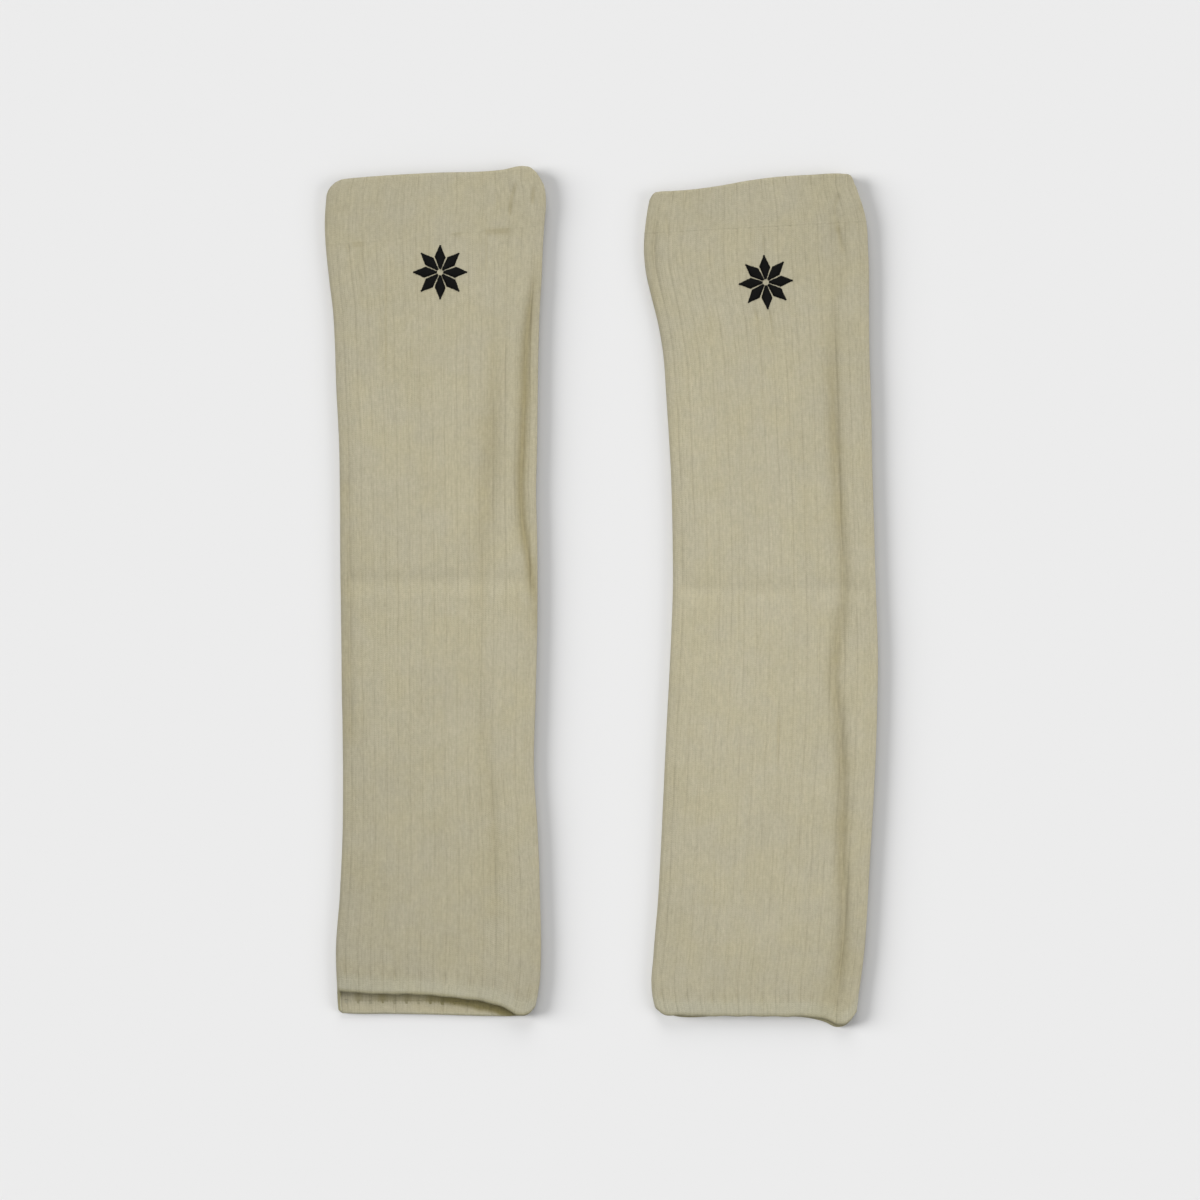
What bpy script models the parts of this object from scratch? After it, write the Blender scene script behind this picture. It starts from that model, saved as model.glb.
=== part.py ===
# Pair of ribbed leg warmers, laid flat side by side with the welts at +Y.
#
# Each leg warmer is a knitted tube pressed flat, its front panel lying on its back panel:
# a turned welt at the top, a 3 by 1 ribbed body, a cast-off hem and a stitched star motif.
# Lengths in the tables are millimetres. X runs across the pair, Y along it and Z up.

import math
from collections import namedtuple

import bmesh
import bpy
import numpy as np

MM = 0.001

# Where the two tubes lie
WARMER_SPACING = 164.0

# Cloth, with the ribs counted all round one tube
RIBS_ROUND = 34
RIB_DEPTH = 0.6
RIB_SHOULDERS = (0.22, 0.78)
BODY_WALL = 2.0
WELT_WALL = 2.4
HEM_WALL = 2.1
HEM_HEIGHT = 7.0
LAYER_GAP = 0.4
LAYER_SOFTNESS = 0.25
SEAM_GAP = 0.3
END_ROUND = 0.8

# Ease of the flattened section from a side fold into the flat front
FOLD_EASE = 5.0
# The plain inner skin has fewer columns, so it follows the narrow folds in a wider curve
INNER_FOLD_EASE = 2.5
# The back's top edge lies a little below the front's
BACK_TOP_DROP = 0.8
# Ribs fade out where the cloth turns under, between these upward parts of its direction
RELIEF_NONE = -0.9
RELIEF_FULL = -0.4

# Crease left across the middle by packing
CREASE_DEPTH = 0.5
CREASE_WIDTH = 3.5
CREASE_RING_OFFSET = 4.0

# Star motif of eight lozenges
STAR_RADIUS = 13.5
STAR_POINTS = 8
STAR_CORNER_REACH = 0.60
STAR_CORNER_TURN = 19.0
STAR_NOTCH_REACH = 0.26
STAR_HEIGHT = 0.7
STAR_CLEARANCE = 0.3
STAR_STATION = 1.05

# Stations count down one tube: 0 top edge, 1 welt seam, 2 hem seam, 3 hem edge
WELT_SEAM = 1.0
WELT_STATIONS = (0.0, 0.12, 0.4, 0.75, 1.0)
BODY_STATIONS_ABOVE = (1.0, 1.05, 1.1, 1.16, 1.23, 1.31, 1.39)
BODY_STATIONS_BELOW = (1.54, 1.62, 1.7, 1.78, 1.86, 1.93, 2.0)
HEM_STATIONS = (2.0, 2.5, 3.0)

KNIT_COLOUR = (0.468, 0.429, 0.305, 1.0)
BAND_COLOUR = (0.445, 0.403, 0.282, 1.0)
THREAD_COLOUR = (0.0056, 0.0056, 0.0048, 1.0)

# Outline, from hem to welt: distance of each side edge from the tube's own middle line
Section = namedtuple("Section", "along left right")

LEFT_SECTIONS = (
    Section(-201.5, 50.0, 49.6),
    Section(-194.0, 50.3, 51.1),
    Section(-179.0, 50.9, 51.9),
    Section(-149.0, 48.9, 51.4),
    Section(-119.0, 47.6, 50.4),
    Section(-86.5, 47.3, 48.4),
    Section(-51.5, 47.8, 49.2),
    Section(-6.5, 48.3, 50.2),
    Section(23.5, 48.7, 50.1),
    Section(53.5, 48.8, 49.5),
    Section(76.0, 49.2, 50.0),
    Section(106.0, 50.7, 50.3),
    Section(128.5, 51.4, 50.8),
    Section(143.5, 52.3, 51.3),
    Section(158.5, 54.2, 52.2),
    Section(173.5, 55.8, 52.8),
    Section(188.5, 56.3, 53.8),
    Section(196.0, 55.8, 54.5),
    Section(203.5, 54.6, 54.0),
    Section(208.0, 52.2, 51.8),
)

RIGHT_SECTIONS = (
    Section(-207.0, 55.0, 45.6),
    Section(-200.0, 56.6, 46.5),
    Section(-194.0, 57.2, 47.3),
    Section(-179.0, 56.2, 49.3),
    Section(-149.0, 53.8, 51.3),
    Section(-119.0, 52.2, 53.0),
    Section(-89.0, 50.8, 54.7),
    Section(-59.0, 49.3, 55.8),
    Section(-29.0, 47.8, 56.2),
    Section(8.5, 46.5, 55.0),
    Section(38.5, 46.8, 54.2),
    Section(68.5, 47.8, 53.3),
    Section(98.5, 49.7, 52.8),
    Section(121.0, 51.3, 52.0),
    Section(136.0, 53.8, 51.8),
    Section(151.0, 57.5, 51.8),
    Section(160.0, 59.6, 51.8),
    Section(173.5, 61.0, 51.3),
    Section(188.5, 59.8, 49.7),
    Section(196.0, 58.9, 48.4),
    Section(202.0, 57.2, 46.2),
)

# Free edges: share of the way across from the left fold, and the edge's place along the tube
EdgePoint = namedtuple("EdgePoint", "across along")

LEFT_TOP = (
    EdgePoint(0.0, 206.5),
    EdgePoint(0.043, 208.8),
    EdgePoint(0.144, 209.4),
    EdgePoint(0.466, 211.6),
    EdgePoint(0.808, 213.2),
    EdgePoint(0.916, 215.0),
    EdgePoint(0.962, 214.6),
    EdgePoint(1.0, 209.5),
)
LEFT_FRONT_HEM = (
    EdgePoint(0.0, -197.3),
    EdgePoint(0.18, -198.8),
    EdgePoint(0.43, -199.2),
    EdgePoint(0.59, -200.7),
    EdgePoint(0.745, -202.8),
    EdgePoint(0.885, -206.2),
    EdgePoint(1.0, -205.5),
)
LEFT_BACK_HEM = (
    EdgePoint(0.0, -206.2),
    EdgePoint(0.04, -207.6),
    EdgePoint(0.25, -208.3),
    EdgePoint(0.5, -208.8),
    EdgePoint(0.78, -209.5),
    EdgePoint(0.9, -209.4),
    EdgePoint(0.97, -208.4),
    EdgePoint(1.0, -205.6),
)
RIGHT_TOP = (
    EdgePoint(0.0, 199.5),
    EdgePoint(0.03, 202.5),
    EdgePoint(0.17, 203.2),
    EdgePoint(0.33, 205.2),
    EdgePoint(0.46, 207.6),
    EdgePoint(0.62, 210.2),
    EdgePoint(0.78, 211.5),
    EdgePoint(0.94, 211.6),
    EdgePoint(0.975, 210.4),
    EdgePoint(1.0, 206.5),
)
RIGHT_FRONT_HEM = (
    EdgePoint(0.0, -206.0),
    EdgePoint(0.04, -208.4),
    EdgePoint(0.13, -209.2),
    EdgePoint(0.37, -209.6),
    EdgePoint(0.62, -209.8),
    EdgePoint(0.8, -209.8),
    EdgePoint(0.9, -210.4),
    EdgePoint(0.95, -211.8),
    EdgePoint(1.0, -207.5),
)
RIGHT_BACK_HEM = (
    EdgePoint(0.0, -206.0),
    EdgePoint(0.04, -207.8),
    EdgePoint(0.37, -209.2),
    EdgePoint(0.62, -209.6),
    EdgePoint(0.77, -210.6),
    EdgePoint(0.84, -212.4),
    EdgePoint(0.9, -215.0),
    EdgePoint(0.95, -213.6),
    EdgePoint(1.0, -207.5),
)

# Lengthwise folds of a front panel: a trough has a depth above zero, a ridge one below it
FoldPoint = namedtuple("FoldPoint", "along place depth")
Fold = namedtuple("Fold", "width points")

LEFT_SIDE_GROOVE = Fold(2.4, (
    FoldPoint(-24.0, 50.0, 0.0),
    FoldPoint(-5.0, 48.5, 0.8),
    FoldPoint(12.0, 46.0, 1.5),
    FoldPoint(23.0, 43.8, 1.8),
    FoldPoint(37.0, 41.4, 2.0),
    FoldPoint(51.0, 40.5, 2.2),
    FoldPoint(76.0, 41.5, 2.3),
    FoldPoint(101.0, 42.5, 2.4),
    FoldPoint(126.0, 43.4, 2.4),
    FoldPoint(139.5, 45.2, 1.8),
    FoldPoint(152.0, 48.0, 0.8),
    FoldPoint(168.0, 50.5, 0.0),
))
LEFT_SIDE_RIDGE = Fold(4.5, (
    FoldPoint(0.0, 36.0, 0.0),
    FoldPoint(30.0, 34.5, -0.7),
    FoldPoint(90.0, 35.5, -0.8),
    FoldPoint(135.0, 37.5, -0.7),
    FoldPoint(165.0, 42.0, 0.0),
))
LEFT_UPPER_TROUGH = Fold(6.5, (
    FoldPoint(5.0, 22.0, 0.0),
    FoldPoint(40.0, 23.0, 0.6),
    FoldPoint(110.0, 24.0, 0.6),
    FoldPoint(152.0, 27.0, 0.0),
))
LEFT_LOWER_TROUGH = Fold(5.0, (
    FoldPoint(-170.0, 29.0, 0.0),
    FoldPoint(-125.0, 30.0, 0.5),
    FoldPoint(-80.0, 28.5, 0.5),
    FoldPoint(-45.0, 26.0, 0.0),
))
RIGHT_SIDE_GROOVE = Fold(4.2, (
    FoldPoint(-212.0, 32.5, 1.8),
    FoldPoint(-196.5, 33.5, 1.7),
    FoldPoint(-176.5, 38.0, 1.6),
    FoldPoint(-151.5, 39.3, 1.6),
    FoldPoint(-126.5, 37.6, 1.7),
    FoldPoint(-101.5, 39.4, 1.7),
    FoldPoint(-76.5, 39.3, 1.6),
    FoldPoint(-59.0, 36.0, 1.4),
    FoldPoint(-41.5, 33.6, 1.3),
    FoldPoint(-16.5, 36.4, 1.1),
    FoldPoint(1.0, 39.8, 1.0),
    FoldPoint(23.5, 38.4, 1.2),
    FoldPoint(48.5, 36.0, 1.1),
    FoldPoint(98.5, 33.0, 1.0),
    FoldPoint(138.0, 33.6, 0.7),
    FoldPoint(178.0, 36.8, 0.4),
    FoldPoint(200.0, 36.0, 0.0),
))
RIGHT_INNER_RIDGE = Fold(5.0, (
    FoldPoint(-212.0, 23.0, -0.3),
    FoldPoint(-120.0, 28.5, -0.5),
    FoldPoint(-50.0, 24.5, -0.3),
    FoldPoint(20.0, 27.5, 0.0),
))

# Height of the flattened section at its side folds, and how far its middle sags below them
Height = namedtuple("Height", "station fold sag")

LEFT_HEIGHTS = (
    Height(0.0, 7.4, 1.0),
    Height(0.8, 7.4, 1.0),
    Height(1.15, 7.0, 1.1),
    Height(1.85, 7.0, 1.1),
    Height(2.0, 7.0, 0.8),
    Height(3.0, 7.2, 0.4),
)
RIGHT_HEIGHTS = (
    Height(0.0, 7.4, 1.0),
    Height(0.8, 7.4, 1.0),
    Height(1.15, 7.0, 1.1),
    Height(1.85, 7.0, 1.1),
    Height(2.0, 7.0, 1.1),
    Height(3.0, 7.2, 1.1),
)

Motif = namedtuple("Motif", "across along turn")
Warmer = namedtuple(
    "Warmer",
    "name middle sections top front_hem back_hem welt_seam crease folds heights motif",
)

LEFT_WARMER = Warmer(
    name="left",
    middle=-WARMER_SPACING / 2,
    sections=LEFT_SECTIONS,
    top=LEFT_TOP,
    front_hem=LEFT_FRONT_HEM,
    back_hem=LEFT_BACK_HEM,
    welt_seam=(177.5, 183.0),
    crease=7.5,
    folds=(LEFT_SIDE_GROOVE, LEFT_SIDE_RIDGE, LEFT_UPPER_TROUGH, LEFT_LOWER_TROUGH),
    heights=LEFT_HEIGHTS,
    motif=Motif(1.5, 162.0, 0.0),
)
RIGHT_WARMER = Warmer(
    name="right",
    middle=WARMER_SPACING / 2,
    sections=RIGHT_SECTIONS,
    top=RIGHT_TOP,
    front_hem=RIGHT_FRONT_HEM,
    back_hem=RIGHT_BACK_HEM,
    welt_seam=(181.0, 187.0),
    crease=3.5,
    folds=(RIGHT_SIDE_GROOVE, RIGHT_INNER_RIDGE),
    heights=RIGHT_HEIGHTS,
    motif=Motif(0.0, 157.0, 4.0),
)


def clear_scene():
    for item in list(bpy.data.objects):
        bpy.data.objects.remove(item, do_unlink=True)


def make_material(name, colour, roughness):
    material = bpy.data.materials.new(name)
    material.use_nodes = True
    shader = material.node_tree.nodes["Principled BSDF"]
    shader.inputs["Base Color"].default_value = colour
    shader.inputs["Roughness"].default_value = roughness
    shader.inputs["Metallic"].default_value = 0.0
    return material


def smooth_step(value):
    t = np.clip(value, 0.0, 1.0)
    return t * t * (3.0 - 2.0 * t)


def table_curve(rows, column, at):
    """Smooth curve through one column of a table, level beyond its first and last rows."""
    rows = sorted(rows)
    places = np.array([row[0] for row in rows])
    values = np.array([getattr(row, column) for row in rows])
    slopes = np.gradient(values, places)
    at = np.clip(at, places[0], places[-1])
    span = np.clip(np.searchsorted(places, at, side="right") - 1, 0, len(places) - 2)
    step = places[span + 1] - places[span]
    t = (at - places[span]) / step
    start = (1 + 2 * t) * (1 - t) ** 2 * values[span] + t * (1 - t) ** 2 * step * slopes[span]
    end = t * t * (3 - 2 * t) * values[span + 1] - t * t * (1 - t) * step * slopes[span + 1]
    return start + end


def edges_at(warmer, along):
    """Left and right edge of a tube, from its own middle line, at a place along it."""
    left = -table_curve(warmer.sections, "left", along)
    right = table_curve(warmer.sections, "right", along)
    return left, right


def place_along(warmer, across, station, front_share):
    """Place along Y of a ring's points. Front and back edges differ at the hem, so the share counts."""
    top = table_curve(warmer.top, "along", across) - BACK_TOP_DROP * (1.0 - front_share)
    welt = warmer.welt_seam[0] + (warmer.welt_seam[1] - warmer.welt_seam[0]) * across
    front = table_curve(warmer.front_hem, "along", across)
    back = table_curve(warmer.back_hem, "along", across)
    edge = front * front_share + back * (1.0 - front_share)
    lines = (top, welt, edge + HEM_HEIGHT, edge)
    first = min(int(station), len(lines) - 2)
    return lines[first] + (lines[first + 1] - lines[first]) * (station - first)


def flat_section(width, height, share):
    """Outline of a tube pressed flat, by the share of the way round it.

    The way starts at the left fold, crosses the front and comes back along the underside. It
    gives the distance across, the height, and the outward direction in X and in Z.
    """
    radius = height / 2
    quarter = radius * math.pi / 2
    flat = width - height
    share = np.mod(share, 1.0)
    side = np.where(share < 0.5, 1.0, -1.0)
    way = np.where(share < 0.5, share, 1.0 - share) * 2 * (2 * quarter + flat)
    left_turn = np.minimum(way, quarter) / radius
    right_turn = np.clip(way - quarter - flat, 0.0, quarter) / radius
    turn = left_turn + right_turn
    run = np.clip(way - quarter, 0.0, flat)
    across = radius - radius * np.cos(left_turn) + run + radius * np.sin(right_turn)
    up = radius + side * radius * np.sin(turn)
    return across, up, -np.cos(turn), side * np.sin(turn)


def height_at(warmer, station):
    """Height of the side folds at a station, and how far the front's middle sags below it."""
    at = np.array([station])
    fold_height = table_curve(warmer.heights, "fold", at)
    sag = table_curve(warmer.heights, "sag", at)
    return float(fold_height[0]), float(sag[0])


def front_sag(warmer, x, along, station, wall, ease=0.0):
    """How far the front panel lies below the level of its side folds.

    The back panel limits it softly, so that the two panels never cross.
    """
    fold_height, sag = height_at(warmer, station)
    left, right = edges_at(warmer, along)
    from_fold = np.minimum(x - left, right - x) - fold_height / 2
    depth = np.full_like(x, sag)
    for fold in warmer.folds:
        offset = (x - table_curve(fold.points, "place", along)) / (fold.width + ease)
        depth = depth + table_curve(fold.points, "depth", along) * np.exp(-offset ** 2)
    depth = depth + CREASE_DEPTH * np.exp(-((along - warmer.crease) / CREASE_WIDTH) ** 2)
    deepest = fold_height - 2 * wall - LAYER_GAP
    depth = -LAYER_SOFTNESS * np.logaddexp(-depth / LAYER_SOFTNESS, -deepest / LAYER_SOFTNESS)
    return depth * smooth_step(from_fold / FOLD_EASE)


def ring_points(warmer, shares, station, shift, wall, inset=0.0, rib_depth=0.0):
    """Points of one ring round a tube.

    The inset moves the whole ring inwards from the outer skin, and the rib depth sinks the
    grooves between the ribs, which leave the underside flat.
    """
    fold_height = height_at(warmer, station)[0]
    middle = place_along(warmer, np.array([0.5]), station, 1.0)
    left, right = edges_at(warmer, middle)
    width = float(right[0] - left[0])
    across, up, out_x, out_z = flat_section(width, fold_height, shares)
    along = place_along(warmer, across / width, station, (1.0 + out_z) / 2)
    in_groove = np.isclose(np.mod(shares * RIBS_ROUND, 1.0), 0.0, atol=1e-6)
    relief = smooth_step((out_z - RELIEF_NONE) / (RELIEF_FULL - RELIEF_NONE))
    depth = inset + rib_depth * in_groove * relief
    left, right = edges_at(warmer, along)
    x = left + (right - left) * across / width - out_x * depth
    ease = INNER_FOLD_EASE if inset > 0.0 else 0.0
    drop = np.where(out_z > 0.0, front_sag(warmer, x, along, station, wall, ease), 0.0)
    z = up - drop - out_z * depth
    return np.stack([x + warmer.middle, along + shift, z], axis=1) * MM


def outer_shares():
    """Ways round of the outer skin's columns: a groove and two shoulders for each rib."""
    phases = (0.0,) + RIB_SHOULDERS
    return np.array([(rib + phase) / RIBS_ROUND for rib in range(RIBS_ROUND) for phase in phases])


def inner_shares():
    return np.arange(RIBS_ROUND) / RIBS_ROUND


def add_ring(mesh, points):
    return [mesh.verts.new(point) for point in points]


def join_rings(mesh, one, other):
    for index in range(len(one)):
        after = (index + 1) % len(one)
        mesh.faces.new((one[index], one[after], other[after], other[index]))


def join_ribbed_ring(mesh, ribbed, plain):
    """Joins a ring with three points for each rib to a plain ring with one."""
    for index in range(len(plain)):
        after = (index + 1) % len(plain)
        groove, near, far, next_groove = (ribbed[(3 * index + k) % len(ribbed)] for k in range(4))
        mesh.faces.new((groove, near, plain[index]))
        mesh.faces.new((near, far, plain[after], plain[index]))
        mesh.faces.new((far, next_groove, plain[after]))


def add_object(name, mesh, material, collection):
    bmesh.ops.recalc_face_normals(mesh, faces=mesh.faces)
    data = bpy.data.meshes.new(name)
    mesh.to_mesh(data)
    mesh.free()
    data.materials.append(material)
    collection.objects.link(bpy.data.objects.new(name, data))


def make_band(name, warmer, stations, wall, gaps, material, collection):
    """A closed wall round the tube: ribbed outer skin, rounded ends and a plain inner skin.

    The gaps are what the wall leaves free at its upper and lower ends.
    """
    outer = outer_shares()
    inner = inner_shares()
    shifts = [0.0] * len(stations)
    shifts[0] = -gaps[0] - END_ROUND
    shifts[-1] = gaps[1] + END_ROUND
    mesh = bmesh.new()
    outer_rings = []
    inner_rings = []
    for station, shift in zip(stations, shifts):
        ribbed = ring_points(warmer, outer, station, shift, wall, rib_depth=RIB_DEPTH)
        plain = ring_points(warmer, inner, station, shift, wall, inset=wall)
        outer_rings.append(add_ring(mesh, ribbed))
        inner_rings.append(add_ring(mesh, plain))
    upper_rim = add_ring(mesh, ring_points(warmer, inner, stations[0], -gaps[0], wall, wall / 2))
    lower_rim = add_ring(mesh, ring_points(warmer, inner, stations[-1], gaps[1], wall, wall / 2))
    for above, below in zip(outer_rings, outer_rings[1:]):
        join_rings(mesh, above, below)
    for above, below in zip(inner_rings, inner_rings[1:]):
        join_rings(mesh, above, below)
    for ribbed, rim, plain in (
        (outer_rings[0], upper_rim, inner_rings[0]),
        (outer_rings[-1], lower_rim, inner_rings[-1]),
    ):
        join_ribbed_ring(mesh, ribbed, rim)
        join_rings(mesh, rim, plain)
    add_object(name, mesh, material, collection)


def star_outline():
    """Star of eight lozenges: a tip, two side corners and a notch for each, round its centre."""
    outline = []
    for point in range(STAR_POINTS):
        tip = 360.0 / STAR_POINTS * point + 90.0
        outline += [
            (STAR_CORNER_REACH, tip - STAR_CORNER_TURN),
            (1.0, tip),
            (STAR_CORNER_REACH, tip + STAR_CORNER_TURN),
            (STAR_NOTCH_REACH, tip + 180.0 / STAR_POINTS),
        ]
    return outline


def make_motif(warmer, material, collection):
    """Thin star that lies on the front panel, made from the panel's own heights."""
    outline = [(0.0, 0.0)] + star_outline()
    reach = np.array([point[0] for point in outline]) * STAR_RADIUS
    angle = np.radians([point[1] + warmer.motif.turn for point in outline])
    x = warmer.motif.across + reach * np.cos(angle)
    along = warmer.motif.along + reach * np.sin(angle)
    panel = height_at(warmer, STAR_STATION)[0] - front_sag(warmer, x, along, STAR_STATION, BODY_WALL)
    rest = panel + STAR_CLEARANCE
    mesh = bmesh.new()
    layers = []
    for height in (0.0, STAR_HEIGHT):
        points = np.stack([x + warmer.middle, along, rest + height], axis=1) * MM
        layers.append(add_ring(mesh, points))
    lower, upper = layers
    for centre, rim in ((lower[0], lower[1:]), (upper[0], upper[1:])):
        for index in range(len(rim)):
            mesh.faces.new((centre, rim[index], rim[(index + 1) % len(rim)]))
    join_rings(mesh, lower[1:], upper[1:])
    add_object(warmer.name + "_star", mesh, material, collection)


def make_warmer(warmer, materials, collection):
    half_gap = SEAM_GAP / 2
    body_length = warmer.welt_seam[0] - warmer.front_hem[0].along - HEM_HEIGHT
    crease = WELT_SEAM + (warmer.welt_seam[0] - warmer.crease) / body_length
    offset = CREASE_RING_OFFSET / body_length
    body_stations = (
        BODY_STATIONS_ABOVE + (crease - offset, crease, crease + offset) + BODY_STATIONS_BELOW
    )
    make_band(
        warmer.name + "_welt", warmer, WELT_STATIONS, WELT_WALL, (0.0, half_gap),
        materials["band"], collection,
    )
    make_band(
        warmer.name + "_body", warmer, body_stations, BODY_WALL, (half_gap, half_gap),
        materials["knit"], collection,
    )
    make_band(
        warmer.name + "_hem", warmer, HEM_STATIONS, HEM_WALL, (half_gap, 0.0),
        materials["band"], collection,
    )
    make_motif(warmer, materials["thread"], collection)


def main():
    clear_scene()
    collection = bpy.data.collections.new("leg_warmers")
    bpy.context.scene.collection.children.link(collection)
    materials = {
        "knit": make_material("cream_knit", KNIT_COLOUR, 0.92),
        "band": make_material("cream_band", BAND_COLOUR, 0.92),
        "thread": make_material("black_thread", THREAD_COLOUR, 0.6),
    }
    for warmer in (LEFT_WARMER, RIGHT_WARMER):
        make_warmer(warmer, materials, collection)


main()
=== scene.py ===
import math
from collections import namedtuple

import bpy
import numpy as np
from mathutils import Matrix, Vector


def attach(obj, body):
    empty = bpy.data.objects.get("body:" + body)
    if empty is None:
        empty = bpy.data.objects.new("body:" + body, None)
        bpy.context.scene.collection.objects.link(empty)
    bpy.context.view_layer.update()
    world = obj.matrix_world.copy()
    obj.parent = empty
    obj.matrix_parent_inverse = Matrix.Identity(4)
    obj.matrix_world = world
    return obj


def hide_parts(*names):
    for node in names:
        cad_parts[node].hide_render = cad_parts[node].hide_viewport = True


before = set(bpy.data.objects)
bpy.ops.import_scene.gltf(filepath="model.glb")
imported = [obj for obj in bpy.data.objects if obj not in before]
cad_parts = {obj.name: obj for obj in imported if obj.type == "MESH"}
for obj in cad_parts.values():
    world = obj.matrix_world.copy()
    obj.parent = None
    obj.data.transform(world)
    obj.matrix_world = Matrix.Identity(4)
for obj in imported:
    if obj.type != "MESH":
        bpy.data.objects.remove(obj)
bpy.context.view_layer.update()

# Pair of ribbed leg warmers, laid flat side by side with the welts at +Y.
# Lengths in the tables are millimetres, and meshes are in metres.

MM = 0.001


def table(kind, rows):
    return tuple(kind(*row) for row in rows)


# Main sizes of a tube
WARMER_SPACING = 164.0
RIBS_ROUND = 34
RIB_DEPTH = 0.36
BODY_WALL = 1.3
WELT_WALL = 2.0
HEM_WALL = 2.0
HEM_HEIGHT = 7.0
BACK_TOP_DROP = 0.8

# How the front panel rises at its side folds, and its least gap to the back panel
LAYER_GAP = 0.2
LAYER_SOFTNESS = 0.15
FOLD_EASE = 3.0
FOLD_BLUNTNESS = 0.12
CROWN_EASE = 3.5

# Packing crease across the front panel
CREASE_DEPTH = 1.1
CREASE_WIDTH = 4.2
CREASE_BEND_START = 127.2

# Smooth unevenness: its size, the lengths of its cells across and along, and its own seed. The
# lengths count ribs across where it changes the ribs, and millimetres elsewhere.
Ripple = namedtuple("Ripple", "size across along seed")
CREASE_BEND = Ripple(1.2, 24.0, 1.0, 1)
CREASE_CHANGE = Ripple(0.35, 17.0, 1.0, 2)
BROAD_SWELL = Ripple(0.14, 15.0, 22.0, 3)
FINE_SWELL = Ripple(0.07, 6.0, 11.0, 4)
RIB_WAVER = Ripple(0.045, 2.3, 19.0, 5)
RIB_TREMBLE = Ripple(0.02, 0.9, 8.0, 6)
GROOVE_CHANGE = Ripple(0.4, 1.0, 13.0, 7)
DIP_CHANGE = Ripple(0.5, 0.25, 7.0, 8)
LIP_SWING = Ripple(0.05, 17.0, 1.0, 9)
PALE_CHANGE = Ripple(0.6, 6.0, 40.0, 10)
DROP_CHANGE = Ripple(0.6, 1.7, 30.0, 12)

# Fixed place along, in cells, for the kinds that change only across
CREASE_BEND_ROW = 0.5
CREASE_CHANGE_ROW = 0.2
LIP_ROW = 0.3

Section = namedtuple("Section", "along left right")
EdgePoint = namedtuple("EdgePoint", "across along")
FoldPoint = namedtuple("FoldPoint", "along place depth")
Fold = namedtuple("Fold", "width sharpness tone spread points")
Height = namedtuple("Height", "station fold sag")
Motif = namedtuple("Motif", "across along turn")

# Outline, from hem to welt: distance of each side edge from the tube's own middle line
LEFT_SECTIONS = table(Section, (
    (-206.5, 49.6, 48.6),
    (-201.5, 50.0, 49.8),
    (-194.0, 50.3, 51.1),
    (-179.0, 50.9, 51.9),
    (-149.0, 48.9, 51.4),
    (-119.0, 47.6, 50.4),
    (-86.5, 47.3, 48.4),
    (-51.5, 47.8, 49.2),
    (-6.5, 48.3, 50.2),
    (23.5, 48.7, 50.1),
    (53.5, 48.8, 49.5),
    (76.0, 49.2, 50.0),
    (106.0, 50.7, 50.3),
    (128.5, 51.4, 50.8),
    (143.5, 52.3, 51.3),
    (158.5, 54.2, 52.2),
    (173.5, 55.8, 52.8),
    (188.5, 56.3, 53.8),
    (196.0, 55.8, 54.4),
    (203.5, 54.9, 53.9),
    (208.0, 53.4, 52.7),
))
RIGHT_SECTIONS = table(Section, (
    (-207.0, 55.0, 45.6),
    (-200.0, 56.6, 46.5),
    (-194.0, 57.2, 47.3),
    (-179.0, 56.2, 49.3),
    (-149.0, 53.8, 51.3),
    (-119.0, 52.2, 53.0),
    (-89.0, 50.8, 54.7),
    (-59.0, 49.3, 55.8),
    (-29.0, 47.8, 56.2),
    (8.5, 46.5, 55.0),
    (38.5, 46.8, 54.2),
    (68.5, 47.8, 53.3),
    (98.5, 49.7, 52.8),
    (121.0, 51.3, 52.0),
    (136.0, 53.8, 51.8),
    (151.0, 57.5, 51.8),
    (160.0, 59.6, 51.8),
    (173.5, 61.0, 51.3),
    (188.5, 59.8, 50.2),
    (196.0, 58.6, 48.3),
    (202.0, 57.4, 46.3),
    (206.5, 56.6, 44.9),
))

# Free edges: share of the way across from the left fold, and the edge's place along the tube
LEFT_TOP = table(EdgePoint, (
    (0.0, 203.8),
    (0.015, 205.8),
    (0.045, 208.0),
    (0.085, 208.8),
    (0.144, 209.4),
    (0.466, 211.6),
    (0.808, 213.2),
    (0.916, 215.0),
    (0.94, 214.5),
    (0.965, 212.4),
    (0.985, 210.1),
    (1.0, 208.2),
))
LEFT_FRONT_HEM = table(EdgePoint, (
    (0.0, -196.9),
    (0.18, -198.2),
    (0.43, -198.7),
    (0.59, -200.2),
    (0.745, -202.4),
    (0.83, -204.7),
    (0.875, -206.7),
    (0.912, -208.7),
    (0.945, -209.0),
    (0.975, -208.0),
    (1.0, -205.5),
))
LEFT_BACK_HEM = table(EdgePoint, (
    (0.0, -206.9),
    (0.012, -207.8),
    (0.04, -208.1),
    (0.25, -208.4),
    (0.5, -208.8),
    (0.78, -209.5),
    (0.9, -209.4),
    (0.97, -208.4),
    (1.0, -205.6),
))
RIGHT_TOP = table(EdgePoint, (
    (0.0, 200.4),
    (0.012, 201.6),
    (0.035, 202.2),
    (0.1, 202.6),
    (0.17, 203.1),
    (0.33, 205.2),
    (0.46, 207.6),
    (0.62, 209.7),
    (0.78, 210.7),
    (0.94, 211.2),
    (0.965, 210.9),
    (0.985, 209.5),
    (1.0, 206.0),
))
RIGHT_FRONT_HEM = table(EdgePoint, (
    (0.0, -206.0),
    (0.04, -208.4),
    (0.13, -209.0),
    (0.37, -209.4),
    (0.62, -209.6),
    (0.8, -210.1),
    (0.86, -211.6),
    (0.91, -213.6),
    (0.955, -212.8),
    (1.0, -207.5),
))
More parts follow.
